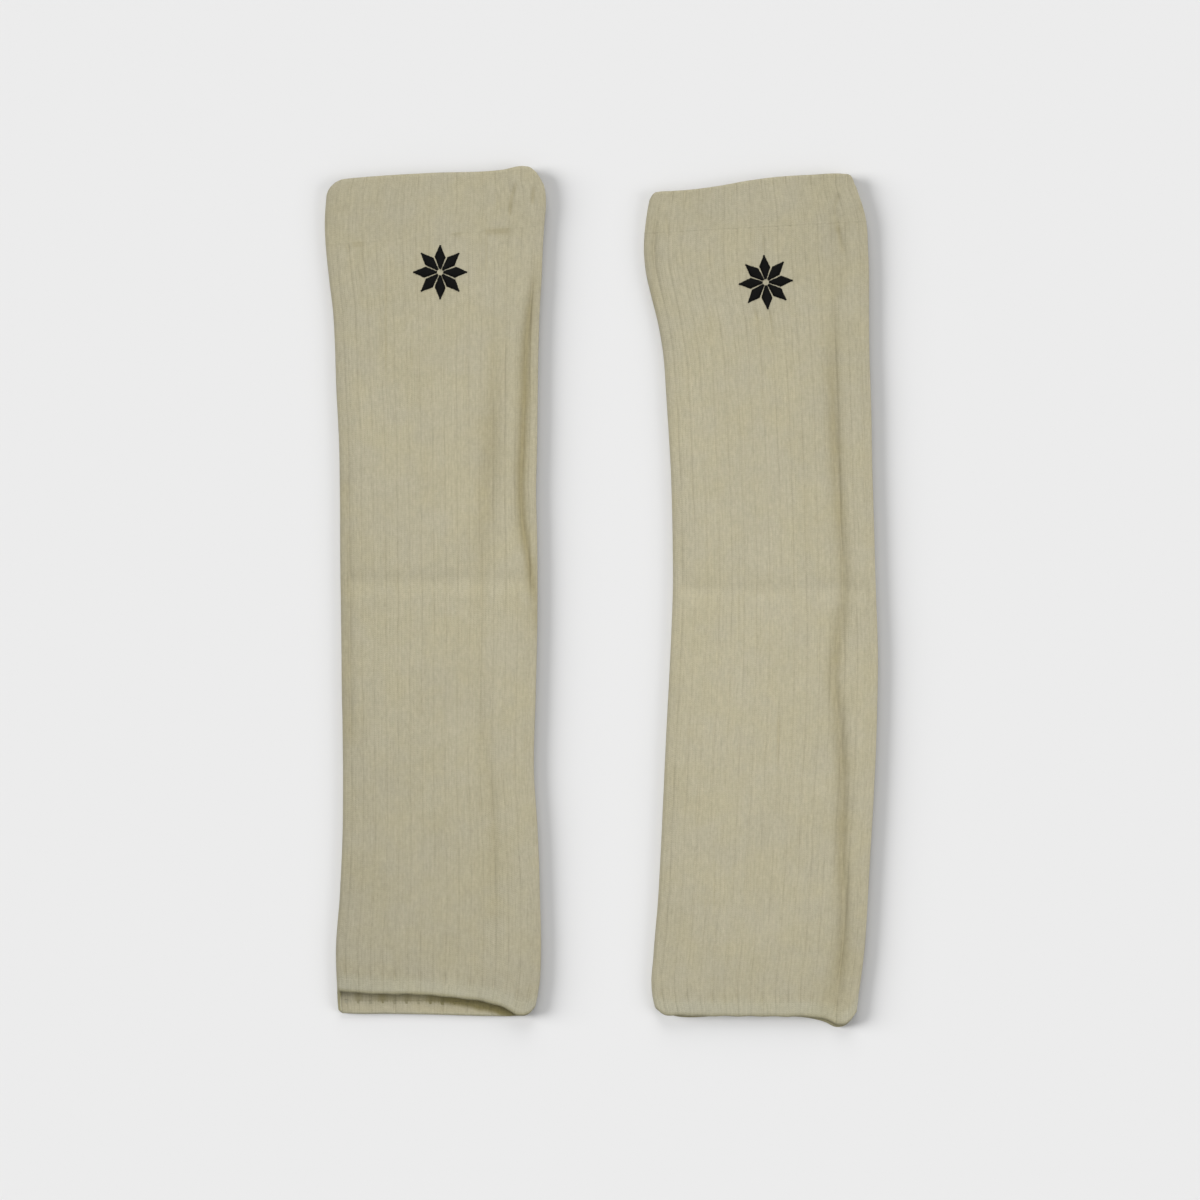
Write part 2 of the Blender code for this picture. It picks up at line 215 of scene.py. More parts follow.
RIGHT_BACK_HEM = table(EdgePoint, (
    (0.0, -206.0),
    (0.04, -207.8),
    (0.37, -209.2),
    (0.62, -209.6),
    (0.77, -210.6),
    (0.84, -212.4),
    (0.9, -215.0),
    (0.95, -213.6),
    (1.0, -207.5),
))

# Lengthwise folds of a front panel: a trough has a depth above zero, a ridge one below it. Tone is the
# shade painted in a trough for each millimetre of its depth, and spread widens that painted shade.
LEFT_SIDE_GROOVE = Fold(2.3, 1.3, 0.18, 1.2, table(FoldPoint, (
    (-24.0, 50.5, 0.0),
    (-5.0, 49.0, 1.2),
    (12.0, 46.8, 2.2),
    (23.0, 44.8, 2.1),
    (37.0, 42.6, 2.4),
    (51.0, 41.7, 2.5),
    (76.0, 42.5, 2.5),
    (101.0, 43.5, 2.4),
    (126.0, 44.4, 2.2),
    (139.5, 45.8, 2.0),
    (152.0, 47.6, 1.4),
    (170.0, 49.5, 0.0),
)))
LEFT_SIDE_RIDGE = Fold(3.2, 2.0, 0.0, 1.0, table(FoldPoint, (
    (0.0, 38.0, 0.0),
    (30.0, 35.0, -0.6),
    (90.0, 36.3, -0.7),
    (135.0, 38.5, -0.5),
    (165.0, 42.0, 0.0),
)))
LEFT_UPPER_TROUGH = Fold(4.2, 1.8, 0.10, 1.1, table(FoldPoint, (
    (-40.0, 20.6, 0.4),
    (-5.0, 21.0, 0.6),
    (28.0, 22.6, 1.5),
    (50.0, 24.3, 2.1),
    (88.0, 26.8, 1.9),
    (115.0, 28.2, 0.9),
    (145.0, 29.0, 0.0),
)))
LEFT_LOWER_TROUGH = Fold(3.0, 1.6, 0.10, 1.0, table(FoldPoint, (
    (-185.0, 28.2, 0.0),
    (-150.0, 27.8, 0.9),
    (-110.0, 27.6, 1.0),
    (-65.0, 22.6, 0.5),
    (-40.0, 20.6, 0.0),
)))
LEFT_EDGE_TROUGH = Fold(2.8, 1.6, 0.09, 1.0, table(FoldPoint, (
    (-95.0, -45.5, 0.0),
    (-60.0, -45.2, 1.5),
    (-20.0, -45.4, 1.7),
    (25.0, -45.8, 1.2),
    (60.0, -46.0, 0.8),
    (100.0, -46.0, 0.0),
)))
RIGHT_SIDE_GROOVE = Fold(2.5, 1.4, 0.10, 1.6, table(FoldPoint, (
    (-212.0, 35.5, 0.3),
    (-196.5, 36.3, 1.2),
    (-176.5, 38.2, 2.2),
    (-151.5, 38.8, 2.6),
    (-126.5, 37.8, 2.6),
    (-101.5, 38.4, 2.6),
    (-76.5, 37.6, 2.5),
    (-59.0, 36.0, 2.4),
    (-41.5, 34.0, 2.4),
    (-16.5, 36.6, 2.2),
    (1.0, 39.0, 1.9),
    (23.5, 38.0, 2.0),
    (48.5, 36.0, 2.2),
    (85.0, 34.0, 2.6),
    (110.0, 33.2, 2.0),
    (138.0, 33.6, 1.0),
    (178.0, 36.8, 0.4),
    (200.0, 36.0, 0.0),
)))
RIGHT_INNER_RIDGE = Fold(4.5, 2.0, 0.0, 1.0, table(FoldPoint, (
    (-212.0, 23.0, -0.3),
    (-120.0, 28.0, -0.6),
    (-50.0, 24.5, -0.3),
    (20.0, 27.5, 0.0),
)))
RIGHT_HEM_TROUGH = Fold(5.0, 1.8, 0.075, 1.1, table(FoldPoint, (
    (-214.0, 30.5, 1.3),
    (-200.0, 32.0, 1.3),
    (-184.0, 35.0, 0.6),
    (-168.0, 37.0, 0.0),
)))
RIGHT_EDGE_TROUGH = Fold(2.6, 1.6, 0.08, 1.0, table(FoldPoint, (
    (115.0, -50.5, 0.0),
    (140.0, -54.5, 1.0),
    (165.0, -56.5, 1.4),
    (185.0, -56.0, 0.8),
    (196.0, -55.0, 0.0),
)))

# Height of the side folds, and how far the front's middle sags below it: less than 0 is a crown
UPPER_HEIGHTS = table(Height, (
    (0.0, 5.8, -0.9),
    (0.6, 5.8, -1.0),
    (1.0, 5.6, -1.0),
    (1.03, 5.6, -1.0),
    (1.15, 5.5, -1.0),
    (1.85, 5.5, -1.0),
))
LEFT_HEIGHTS = UPPER_HEIGHTS + table(Height, (
    (1.97, 5.5, -0.9),
    (2.0, 5.5, -0.9),
    (3.0, 5.6, -0.9),
))
RIGHT_HEIGHTS = UPPER_HEIGHTS + table(Height, (
    (1.97, 5.3, -0.6),
    (2.0, 5.3, -0.6),
    (3.0, 5.0, -0.3),
))

# Short wrinkles of a front panel: from and to, across and along, with half width and depth
Wrinkle = namedtuple("Wrinkle", "x1 y1 x2 y2 width depth")

LEFT_WRINKLES = table(Wrinkle, (
    (39.2, 206.0, 36.9, 198.5, 0.9, 0.85),
    (36.9, 198.5, 36.2, 190.5, 0.9, 0.75),
    (48.1, 205.0, 47.4, 196.0, 1.0, 0.85),
    (30.0, 202.0, 30.2, 193.5, 0.8, 0.25),
    (-45.3, 175.5, -43.8, 172.5, 1.0, 0.3),
    (-25.8, 172.5, -25.6, 110.0, 0.5, 0.4),
    (-37.9, 172.0, -37.6, 143.5, 0.5, 0.3),
    (-12.9, 145.0, -12.7, 114.0, 0.5, 0.3),
    (24.6, 182.5, 24.5, 160.0, 0.5, 0.4),
    (14.5, 133.0, 13.8, 96.0, 0.6, 0.2),
    (-6.0, 95.0, -5.6, 40.0, 0.5, 0.2),
    (2.0, -35.0, 2.4, -92.0, 0.5, 0.2),
    (-21.0, -60.0, -20.6, -105.0, 0.5, 0.2),
))
RIGHT_WRINKLES = table(Wrinkle, (
    (36.6, 201.0, 34.3, 195.5, 0.9, 0.55),
    (34.3, 195.5, 34.5, 189.0, 0.8, 0.4),
    (35.2, 187.6, 38.5, 172.0, 1.1, 0.6),
    (46.8, 196.0, 49.3, 191.0, 1.5, 0.5),
    (-5.8, 143.5, -4.0, 138.0, 0.6, 0.45),
    (1.8, 143.5, 3.8, 129.5, 0.6, 0.45),
    (-1.3, 179.0, -0.8, 172.5, 0.5, 0.3),
    (-50.0, 191.0, -48.8, 181.0, 0.7, 0.3),
    (-28.0, 150.0, -27.4, 120.0, 0.5, 0.25),
    (13.0, 152.0, 12.6, 112.0, 0.5, 0.25),
    (20.0, 60.0, 20.6, 12.0, 0.5, 0.2),
    (-14.0, 30.0, -13.6, -22.0, 0.5, 0.2),
    (6.0, -45.0, 6.4, -110.0, 0.5, 0.25),
    (-26.0, -120.0, -25.8, -170.0, 0.5, 0.25),
))

# Painted shade in soft dent-like marks beside the welt's seam, too shallow to bend the cloth
LEFT_SHADE_MARKS = table(Wrinkle, (
    (24.0, 182.2, 37.0, 182.6, 1.7, 1.0),
    (6.8, 180.6, 12.3, 181.0, 1.1, 0.6),
    (-42.5, 175.6, -36.5, 176.0, 1.2, 0.6),
))
RIGHT_SHADE_MARKS = table(Wrinkle, (
    (34.0, 183.2, 37.5, 183.6, 1.3, 0.5),
))

Warmer = namedtuple(
    "Warmer",
    "name middle sections top front_hem back_hem welt_seam crease"
    " folds wrinkles dents heights motif notch slit seed",
)

LEFT_WARMER = Warmer(
    name="left",
    middle=-WARMER_SPACING / 2,
    sections=LEFT_SECTIONS,
    top=LEFT_TOP,
    front_hem=LEFT_FRONT_HEM,
    back_hem=LEFT_BACK_HEM,
    welt_seam=(174.6, 184.7),
    crease=7.5,
    folds=(LEFT_SIDE_GROOVE, LEFT_SIDE_RIDGE, LEFT_UPPER_TROUGH, LEFT_LOWER_TROUGH, LEFT_EDGE_TROUGH),
    wrinkles=LEFT_WRINKLES,
    dents=LEFT_SHADE_MARKS,
    heights=LEFT_HEIGHTS,
    motif=Motif(1.5, 162.0, 0.0),
    notch=0.8,
    slit=0.82,
    seed=11,
)
RIGHT_WARMER = Warmer(
    name="right",
    middle=WARMER_SPACING / 2,
    sections=RIGHT_SECTIONS,
    top=RIGHT_TOP,
    front_hem=RIGHT_FRONT_HEM,
    back_hem=RIGHT_BACK_HEM,
    welt_seam=(181.0, 187.0),
    crease=3.5,
    folds=(RIGHT_SIDE_GROOVE, RIGHT_INNER_RIDGE, RIGHT_HEM_TROUGH, RIGHT_EDGE_TROUGH),
    wrinkles=RIGHT_WRINKLES,
    dents=RIGHT_SHADE_MARKS,
    heights=RIGHT_HEIGHTS,
    motif=Motif(0.0, 157.0, 4.0),
    notch=2.2,
    slit=0.5,
    seed=47,
)

# Stations along a tube: its top edge, the seams of its welt and its hem, and at 3 the free hem edge
TOP_STATION = 0.0
WELT_SEAM_STATION = 1.0
HEM_SEAM_STATION = 2.0

# Knit: wales in a rib, a stitch's height, and the depth of the dip between two knit wales
WALES_IN_RIB = 4
COURSE = 1.1
WALE_DIP = 0.07

# Columns of one rib, from its sunk purl wale, which is wale 0, over the knit wales 1 to 3. Groove is
# the share of the rib's depth there, and dip the share of the shallow dip between two knit wales.
RibColumn = namedtuple("RibColumn", "phase wale groove dip")
RIB_COLUMNS = table(RibColumn, (
    (0.0, 0.0, 1.0, 0.0),
    (0.055, 0.35, 0.8, 0.0),
    (0.125, 0.66, 0.12, 0.35),
    (0.225, 1.0, 0.0, 0.0),
    (0.315, 1.34, 0.0, 0.3),
    (0.363, 1.5, 0.0, 1.0),
    (0.411, 1.66, 0.0, 0.3),
    (0.5, 2.0, 0.0, 0.0),
    (0.589, 2.34, 0.0, 0.3),
    (0.637, 2.5, 0.0, 1.0),
    (0.685, 2.66, 0.0, 0.3),
    (0.775, 3.0, 0.0, 0.0),
    (0.875, 3.34, 0.12, 0.35),
    (0.945, 3.65, 0.8, 0.0),
))


def smooth_step(value):
    t = np.clip(value, 0.0, 1.0)
    return t * t * (3.0 - 2.0 * t)


NOISE_CELLS = 64


def smooth_noise(x, y, seed):
    """Value noise from -1 to 1 with cells one unit wide, the same on each run."""
    lattice = np.random.RandomState(seed).uniform(-1.0, 1.0, (NOISE_CELLS, NOISE_CELLS))
    column = np.floor(x).astype(int)
    row = np.floor(y).astype(int)
    right = smooth_step(x - column)
    up = smooth_step(y - row)
    here, next_column = column % NOISE_CELLS, (column + 1) % NOISE_CELLS
    level, next_row = row % NOISE_CELLS, (row + 1) % NOISE_CELLS
    low = lattice[here, level] * (1 - right) + lattice[next_column, level] * right
    high = lattice[here, next_row] * (1 - right) + lattice[next_column, next_row] * right
    return low * (1 - up) + high * up


def ripple(kind, warmer, across, along):
    """Smooth unevenness of one kind, from minus its size to its size."""
    return kind.size * smooth_noise(across / kind.across, along / kind.along, warmer.seed + kind.seed)


def table_curve(rows, column, at):
    """Smooth curve through one column of a table, level beyond its first and last rows."""
    rows = sorted(rows)
    places = np.array([row[0] for row in rows])
    values = np.array([getattr(row, column) for row in rows])
    slopes = np.gradient(values, places)
    at = np.clip(at, places[0], places[-1])
    span = np.clip(np.searchsorted(places, at, side="right") - 1, 0, len(places) - 2)
    step = places[span + 1] - places[span]
    t = (at - places[span]) / step
    start = (1 + 2 * t) * (1 - t) ** 2 * values[span] + t * (1 - t) ** 2 * step * slopes[span]
    end = t * t * (3 - 2 * t) * values[span + 1] - t * t * (1 - t) * step * slopes[span + 1]
    return start + end


def edges_at(warmer, along):
    """Left and right edge of a tube, from its own middle line, at a place along it."""
    left = -table_curve(warmer.sections, "left", along)
    right = table_curve(warmer.sections, "right", along)
    return left, right


def place_along(warmer, across, station, front_share):
    """Place along Y of a ring's points. Front and back edges differ at the hem, so the share counts."""
    top = table_curve(warmer.top, "along", across) - BACK_TOP_DROP * (1.0 - front_share)
    welt = warmer.welt_seam[0] + (warmer.welt_seam[1] - warmer.welt_seam[0]) * across
    front = table_curve(warmer.front_hem, "along", across)
    back = table_curve(warmer.back_hem, "along", across)
    edge = front * front_share + back * (1.0 - front_share)
    lines = (top, welt, edge + HEM_HEIGHT, edge)
    first = min(int(station), len(lines) - 2)
    return lines[first] + (lines[first + 1] - lines[first]) * (station - first)


def flat_section(width, height, share):
    """Outline of a tube pressed flat, by the share of the way round it.

    The way starts at the left fold, crosses the front and comes back along the underside. It
    gives the distance across, the height, and the outward direction in X and in Z.
    """
    radius = height / 2
    quarter = radius * math.pi / 2
    flat = width - height
    share = np.mod(share, 1.0)
    side = np.where(share < 0.5, 1.0, -1.0)
    way = np.where(share < 0.5, share, 1.0 - share) * 2 * (2 * quarter + flat)
    left_turn = np.minimum(way, quarter) / radius
    right_turn = np.clip(way - quarter - flat, 0.0, quarter) / radius
    turn = left_turn + right_turn
    run = np.clip(way - quarter, 0.0, flat)
    across = radius - radius * np.cos(left_turn) + run + radius * np.sin(right_turn)
    up = radius + side * radius * np.sin(turn)
    return across, up, -np.cos(turn), side * np.sin(turn)


EDGE_BLEND = 0.9


def edge_share(out_z):
    """Share of the front's edge lines at a point of a ring, by its outward direction in Z."""
    return smooth_step(out_z / EDGE_BLEND)


def height_at(warmer, station):
    """Height of the side folds at a station, and how far the front's middle sags below it."""
    at = np.array([station])
    fold_height = table_curve(warmer.heights, "fold", at)
    sag = table_curve(warmer.heights, "sag", at)
    return float(fold_height[0]), float(sag[0])


# Depth of a wrinkle at its two ends, as a share, and of all of them against the tables
WRINKLE_END_DEPTH = 0.3
WRINKLE_GAIN = 1.2


def wrinkle_depth(wrinkles, x, along):
    """Depth of the short wrinkles, each fading towards its two ends."""
    depth = np.zeros_like(x)
    for w in wrinkles:
        run_x, run_y = w.x2 - w.x1, w.y2 - w.y1
        share = ((x - w.x1) * run_x + (along - w.y1) * run_y) / (run_x ** 2 + run_y ** 2)
        t = np.clip(share, 0.0, 1.0)
        aside = np.hypot(x - w.x1 - t * run_x, along - w.y1 - t * run_y)
        taper = np.sqrt(np.clip(4 * t * (1 - t), 0.0, 1.0))
        taper = WRINKLE_END_DEPTH + (1.0 - WRINKLE_END_DEPTH) * taper
        depth += w.depth * taper * np.exp(-(aside / w.width) ** 2)
    return depth


# Puckers round the star: places and lengths are in star radii
PUCKERS = 14
PUCKER_DEPTH = 0.16
PUCKER_SWAY = 1.3
PUCKER_SWAYS = 3
PUCKER_RING = 1.05
PUCKER_SPREAD = 0.32
DISH_DEPTH = 0.12
DISH_REACH = 1.25


def pucker_depth(motif, x, along):
    """Small radial puckers where the stitching draws the knit in round the star."""
    out_x, out_y = x - motif.across, along - motif.along
    reach = np.hypot(out_x, out_y) / STAR_RADIUS
    turn = np.arctan2(out_y, out_x)
    swayed = PUCKERS * turn + PUCKER_SWAY * np.sin(PUCKER_SWAYS * turn)
    pucker = (0.5 + 0.5 * np.cos(swayed)) * np.exp(-((reach - PUCKER_RING) / PUCKER_SPREAD) ** 2)
    return PUCKER_DEPTH * pucker + DISH_DEPTH * np.exp(-(reach / DISH_REACH) ** 4)


# Painted shade in the front panel's folds, wrinkles and dent-like marks
WRINKLE_PAINTED_SHADE = 0.26
FOLD_SHADE_POWER = 1.8

# Painted shade inside the tube, from the front hem's edge on, and on that edge's outer side
INNER_SHARE = 0.04
SLIT_REACH = 4.2
SLIT_FADE = 2.8
SLIT_CORNER_REACH = 1.5
SLIT_CORNER_START = 0.4
SLIT_CORNER_RUN = 0.35
DROP_REACH = 1.1
DROP_SHARE = 0.5
EDGE_SHADE = 0.22
EDGE_SHADE_REACH = 3.0
RIM_SHADE = 0.65
RIM_SHADE_REACH = 2.6


def painted_hollow_shade(warmer, x, along):
    """How much darker the knit is painted, from 0 to 1, as shade in the front panel's folds, wrinkles
    and dent-like marks.
    """
    tone = WRINKLE_PAINTED_SHADE * wrinkle_depth(warmer.wrinkles + warmer.dents, x, along)
    for fold in warmer.folds:
        offset = (x - table_curve(fold.points, "place", along)) / (fold.width * fold.spread)
        depth = np.maximum(table_curve(fold.points, "depth", along), 0.0)
        tone = tone + fold.tone * depth * np.exp(-np.abs(offset) ** FOLD_SHADE_POWER)
    return tone


def painted_slit_shade(warmer, way, share, along):
    """Painted shade inside the tube: deep past the front hem's edge, which it follows in soft drops."""
    drop = DROP_SHARE + ripple(DROP_CHANGE, warmer, way, along)
    drop = DROP_REACH * np.maximum(np.cos(math.pi * way), 0.0) * drop
    corner = SLIT_CORNER_REACH * smooth_step((share - SLIT_CORNER_START) / SLIT_CORNER_RUN)
    past_edge = along - table_curve(warmer.front_hem, "along", share)
    inside = smooth_step((past_edge + SLIT_REACH + corner + drop) / SLIT_FADE)
    above_edge = along - table_curve(warmer.back_hem, "along", share)
    edge = EDGE_SHADE * smooth_step(1.0 - above_edge / EDGE_SHADE_REACH)
    return warmer.slit * np.maximum(INNER_SHARE + (1.0 - INNER_SHARE) * inside, edge)


def rim_shade(warmer, share, along):
    """Painted shade on the front hem's outer side, where it turns down to its free edge."""
    above_edge = along - table_curve(warmer.front_hem, "along", share)
    return RIM_SHADE * warmer.slit * smooth_step(1.0 - above_edge / RIM_SHADE_REACH)


def front_sag(warmer, x, along, station, wall):
    """How far the front panel lies below the level of its side folds.

    The back panel limits it softly, so that the two panels never cross.
    """
    fold_height, sag = height_at(warmer, station)
    left, right = edges_at(warmer, along)
    from_fold = np.minimum(x - left, right - x) - fold_height / 2
    depth = np.full_like(x, sag)
    for fold in warmer.folds:
        offset = (x - table_curve(fold.points, "place", along)) / fold.width
        soft = np.sqrt(offset ** 2 + FOLD_BLUNTNESS ** 2) - FOLD_BLUNTNESS
        depth = depth + table_curve(fold.points, "depth", along) * np.exp(-soft ** fold.sharpness)
    bend = ripple(CREASE_BEND, warmer, x + CREASE_BEND_START, CREASE_BEND_ROW)
    strength = 1.0 + ripple(CREASE_CHANGE, warmer, x, CREASE_CHANGE_ROW)
    crease = np.exp(-((along - warmer.crease - bend) / CREASE_WIDTH) ** 2)
    depth = depth + CREASE_DEPTH * strength * crease
    depth = depth + WRINKLE_GAIN * wrinkle_depth(warmer.wrinkles, x, along)
    depth = depth + pucker_depth(warmer.motif, x, along)
    depth = depth + ripple(BROAD_SWELL, warmer, x, along) + ripple(FINE_SWELL, warmer, x, along)
    crown = sag * (1.0 - np.exp(-np.maximum(from_fold, 0.0) / CROWN_EASE))
    depth = (depth - sag) * smooth_step(from_fold / FOLD_EASE) + crown
    deepest = fold_height - 2 * wall - LAYER_GAP
    return -LAYER_SOFTNESS * np.logaddexp(-depth / LAYER_SOFTNESS, -deepest / LAYER_SOFTNESS)


def knit_columns():
    """Share of the way round, wale coordinate, groove and dip of each column of the outer skin."""
    shares, wales, grooves, dips = [], [], [], []
    for rib in range(RIBS_ROUND):
        for column in RIB_COLUMNS:
            shares.append((rib + column.phase) / RIBS_ROUND)
            wales.append(rib * WALES_IN_RIB + column.wale)
            grooves.append(column.groove)
            dips.append(column.dip)
    return np.array(shares), np.array(wales), np.array(grooves), np.array(dips)


# Ribs and knit columns of a skin
Skin = namedtuple("Skin", "wall groove dip lift notch")
LIP_RISE = 0.015
INNER_RELIEF = -0.6
DEEPEST_SHARE = 0.6
UNDERSIDE_RELIEF = 0.35
UNDERSIDE_START = -0.98
UNDERSIDE_RUN = 0.5
SCALLOP = 0.15
SCALLOP_START = 2.3
SCALLOP_RUN = 0.5
HEM_PIT_PLACE = 2.4
HEM_PIT_LENGTH = 2.0
HEM_PIT_GAIN = 0.5
HEM_PIT_SECOND_GAIN = 1.6
HEM_PIT_STATION = 1.5
NOTCH_LENGTH = 3.5
INNER_GROOVE_GAIN = 1.5

# Painted highlight on the rims of the folds and on the inner skin, and pale hems
RIM_POWER = 1.5
INNER_RIM_HIGHLIGHT = 0.2
INNER_PALE_START = 0.8
INNER_PALE_RUN = 1.2
PALE_REACH = 7.0
PALE_START = 0.4


def seam_gain(warmer, skin, way, along, share, station, out_z, relief):
    """How much deeper the ribs' grooves are near the free top edge and just above the hem."""
    every_second = 0.5 - 0.5 * np.cos(math.pi * np.round(way))
    if relief < 0.0:
        return 1.0 + INNER_GROOVE_GAIN * every_second * (out_z < 0.0)
    front = edge_share(out_z)
    above_hem = along - place_along(warmer, share, HEM_SEAM_STATION, front)
    pits = np.exp(-((above_hem - HEM_PIT_PLACE) / HEM_PIT_LENGTH) ** 2) * (station >= HEM_PIT_STATION)
    pits = pits * (HEM_PIT_GAIN + HEM_PIT_SECOND_GAIN * every_second)
    below_top = place_along(warmer, share, TOP_STATION, front) - along
    notches = np.exp(-(below_top / NOTCH_LENGTH) ** 2) * (station < WELT_SEAM_STATION)
    return 1.0 + pits + skin.notch * notches


Ring = namedtuple("Ring", "points hollow slit pale rim")


def ring_tones(warmer, way, share, x, along, shift, out_z, on_inside, past_middle):
    """A ring's values for tone: painted shade in hollows and inside the tube, pale hems, and painted
    highlights on rims.
    """
    rim = (1.0 - np.abs(out_z)) ** RIM_POWER
    if on_inside:
        hollow = np.zeros_like(way)
        above_edge = along - table_curve(warmer.back_hem, "along", share)
        pale = 1.0 - smooth_step((above_edge - INNER_PALE_START) / INNER_PALE_RUN)
        rim = np.maximum(rim, INNER_RIM_HIGHLIGHT)
    else:
        hollow = painted_hollow_shade(warmer, x, along) * (out_z > 0.0)
        above_hem = along + shift - place_along(warmer, share, HEM_SEAM_STATION, edge_share(out_z))
        fade = PALE_REACH * (1.0 + ripple(PALE_CHANGE, warmer, x, along))
        pale = 1.0 - smooth_step(above_hem / fade + PALE_START)
    if past_middle:
        slit = painted_slit_shade(warmer, way, share, along)
    else:
        slit = rim_shade(warmer, share, along + shift) * (out_z > 0.0)
    return hollow, slit, pale, rim


def skin_ring(warmer, skin, station, shift, inset, relief):
    """One ring's points, in millimetres, with its values for tone: painted shade, painted highlight and
    pale hems.

    The inset moves it inwards from the outer skin, and relief scales its ribs and wales, which
    are weaker on the underside that rests flat. Relief is below 0 on the inner skin.
    """
    shares, _, grooves, dips = knit_columns()
    fold_height = height_at(warmer, station)[0]
    middle = place_along(warmer, np.array([0.5]), station, 1.0)
    left, right = edges_at(warmer, middle)
    width = float(right[0] - left[0])
    way = shares * RIBS_ROUND
    row = float(middle[0] + shift)
    waver = ripple(RIB_WAVER, warmer, way, row) + ripple(RIB_TREMBLE, warmer, way, row)
    across, up, out_x, out_z = flat_section(width, fold_height, shares + waver / RIBS_ROUND)
    share = across / width
    along = place_along(warmer, share, station, edge_share(out_z))
    scalloped = smooth_step((station - SCALLOP_START) / SCALLOP_RUN) * (out_z > 0.0)
    along = along + SCALLOP * np.cos(math.pi * way) * scalloped
    over = np.ones_like(out_z)
    if relief > 0.0:
        over = smooth_step((out_z - UNDERSIDE_START) / UNDERSIDE_RUN)
    groove_change = 1.0 + ripple(GROOVE_CHANGE, warmer, way, row)
    groove_change = groove_change * seam_gain(warmer, skin, way, along, share, station, out_z, relief)
    dip_change = 1.0 + ripple(DIP_CHANGE, warmer, way, row)
    depth = skin.groove * grooves * groove_change + skin.dip * dips * dip_change
    depth = relief * (UNDERSIDE_RELIEF + (1.0 - UNDERSIDE_RELIEF) * over) * depth
    depth = np.minimum(depth, DEEPEST_SHARE * skin.wall) + inset
    if relief > 0.0:
        depth = depth - skin.lift * over * (LIP_RISE + ripple(LIP_SWING, warmer, across, LIP_ROW))
    left, right = edges_at(warmer, along)
    x = left + (right - left) * share - out_x * depth
    drop = np.where(out_z > 0.0, front_sag(warmer, x, along, station, skin.wall), 0.0)
    z = np.maximum(up - drop - out_z * depth, 0.0)
    points = np.stack([x + warmer.middle, along + shift, z], axis=1)
    on_inside, past_middle = relief < 0.0, inset > skin.wall / 2
    tones = ring_tones(warmer, way, share, x, along, shift, out_z, on_inside, past_middle)
    return Ring(points, *tones)


END_TURNS = (30, 60, 90, 120, 150)


def rounded_end(station, start, reach, wall, sunk):
    """Rings of a wall's half-round end as (station, shift, inset, share of the outer relief).

    The start is the shift of the last full ring, and reach is how far the end stands past it.
    """
    rings = []
    for turn in END_TURNS:
        angle = math.radians(turn)
        inset = sunk + (wall - sunk) / 2 * (1 - math.cos(angle))
        rings.append((station, start + reach * math.sin(angle), inset, (1 + math.cos(angle)) / 2))
    return rings


def band_rings(outer, inner, reach):
    """All rings of a closed wall: outer skin down, lower end, inner skin up, upper end."""
    top, bottom = outer[0], outer[-1]
    rings = [(station, shift, sunk, 1.0) for station, shift, sunk in outer]
    rings += rounded_end(bottom[0], bottom[1], -reach[1], inner[0][1], bottom[2])
    rings += [(station, 0.0, wall, INNER_RELIEF) for station, wall in inner]
    rings += rounded_end(top[0], top[1], reach[0], inner[-1][1], top[2])[::-1]
    return rings


def grid_object(name, rings, wales, material):
    """Closed mesh through rings of equal size, with a UV map that counts wales and courses."""
    rows, columns = len(rings), len(rings[0].points)
    points = np.concatenate([ring.points for ring in rings]) * MM
    row, column = np.meshgrid(np.arange(rows), np.arange(columns), indexing="ij")
    next_row, next_column = (row + 1) % rows, (column + 1) % columns
    faces = np.stack([
        row * columns + column,
        next_row * columns + column,
        next_row * columns + next_column,
        row * columns + next_column,
    ], axis=-1).reshape(-1, 4)
    mesh = bpy.data.meshes.new(name)
    mesh.from_pydata(points.tolist(), [], faces.tolist())
    lengths = [0.0]
    for above, below in zip(rings, rings[1:] + rings[:1]):
        step = np.linalg.norm(below.points - above.points, axis=1)
        lengths.append(lengths[-1] + float(np.median(step)))
    courses = np.array(lengths) / COURSE
    ends = np.append(wales, wales[0] + RIBS_ROUND * WALES_IN_RIB)
    u = np.stack([ends[column], ends[column], ends[column + 1], ends[column + 1]], axis=-1)
    v = np.stack([courses[row], courses[row + 1], courses[row + 1], courses[row]], axis=-1)
    layer = mesh.uv_layers.new(name="knit")
    layer.uv.foreach_set("vector", np.stack([u, v], axis=-1).astype(np.float32).ravel())
    for key in ("hollow", "slit", "pale", "rim"):
        values = np.concatenate([getattr(ring, key) for ring in rings])
        attribute = mesh.attributes.new(key, "FLOAT", "POINT")
        attribute.data.foreach_set("value", values.astype(np.float32))
    mesh.shade_smooth()
    mesh.materials.append(material)
    piece = bpy.data.objects.new(name, mesh)
    bpy.context.scene.collection.objects.link(piece)
    return piece


# Rings of each piece's outer skin as (station, shift, inset), with even rows between its ends, and
# even rows of its inner skin. A reach is how far the half-round upper and lower end stand out.
Rows = namedtuple("Rows", "start end count")
BODY_TOP_RINGS = ((1.0, 1.8, 0.3), (1.0, 0.9, 0.12), (1.0, 0.3, 0.0))
BODY_ROWS = (Rows(1.002, 1.022, 7), Rows(1.028, 1.968, 136), Rows(1.973, 1.998, 8))
BODY_BOTTOM_RINGS = ((2.0, -0.3, 0.0), (2.0, -0.9, 0.12), (2.0, -1.5, 0.3))
BODY_INNER_ROWS = Rows(1.0, 2.0, 26)
BODY_END_REACH = (0.5, 0.5)
CREASE_ROWS_REACH = 0.025
CREASE_ROWS = 11
HEM_MIDDLE_POINT = 3

WELT_TOP_RINGS = ((0.0, -1.3, 0.0),)
WELT_ROWS = (Rows(0.075, 0.95, 22),)
WELT_BOTTOM_RINGS = ((1.0, 0.75, 0.0), (1.0, 0.45, 0.0))
WELT_INNER_ROWS = Rows(0.96, 0.05, 8)
WELT_END_REACH = (1.3, 0.45)
WELT_GROOVE_SHARE = 0.7

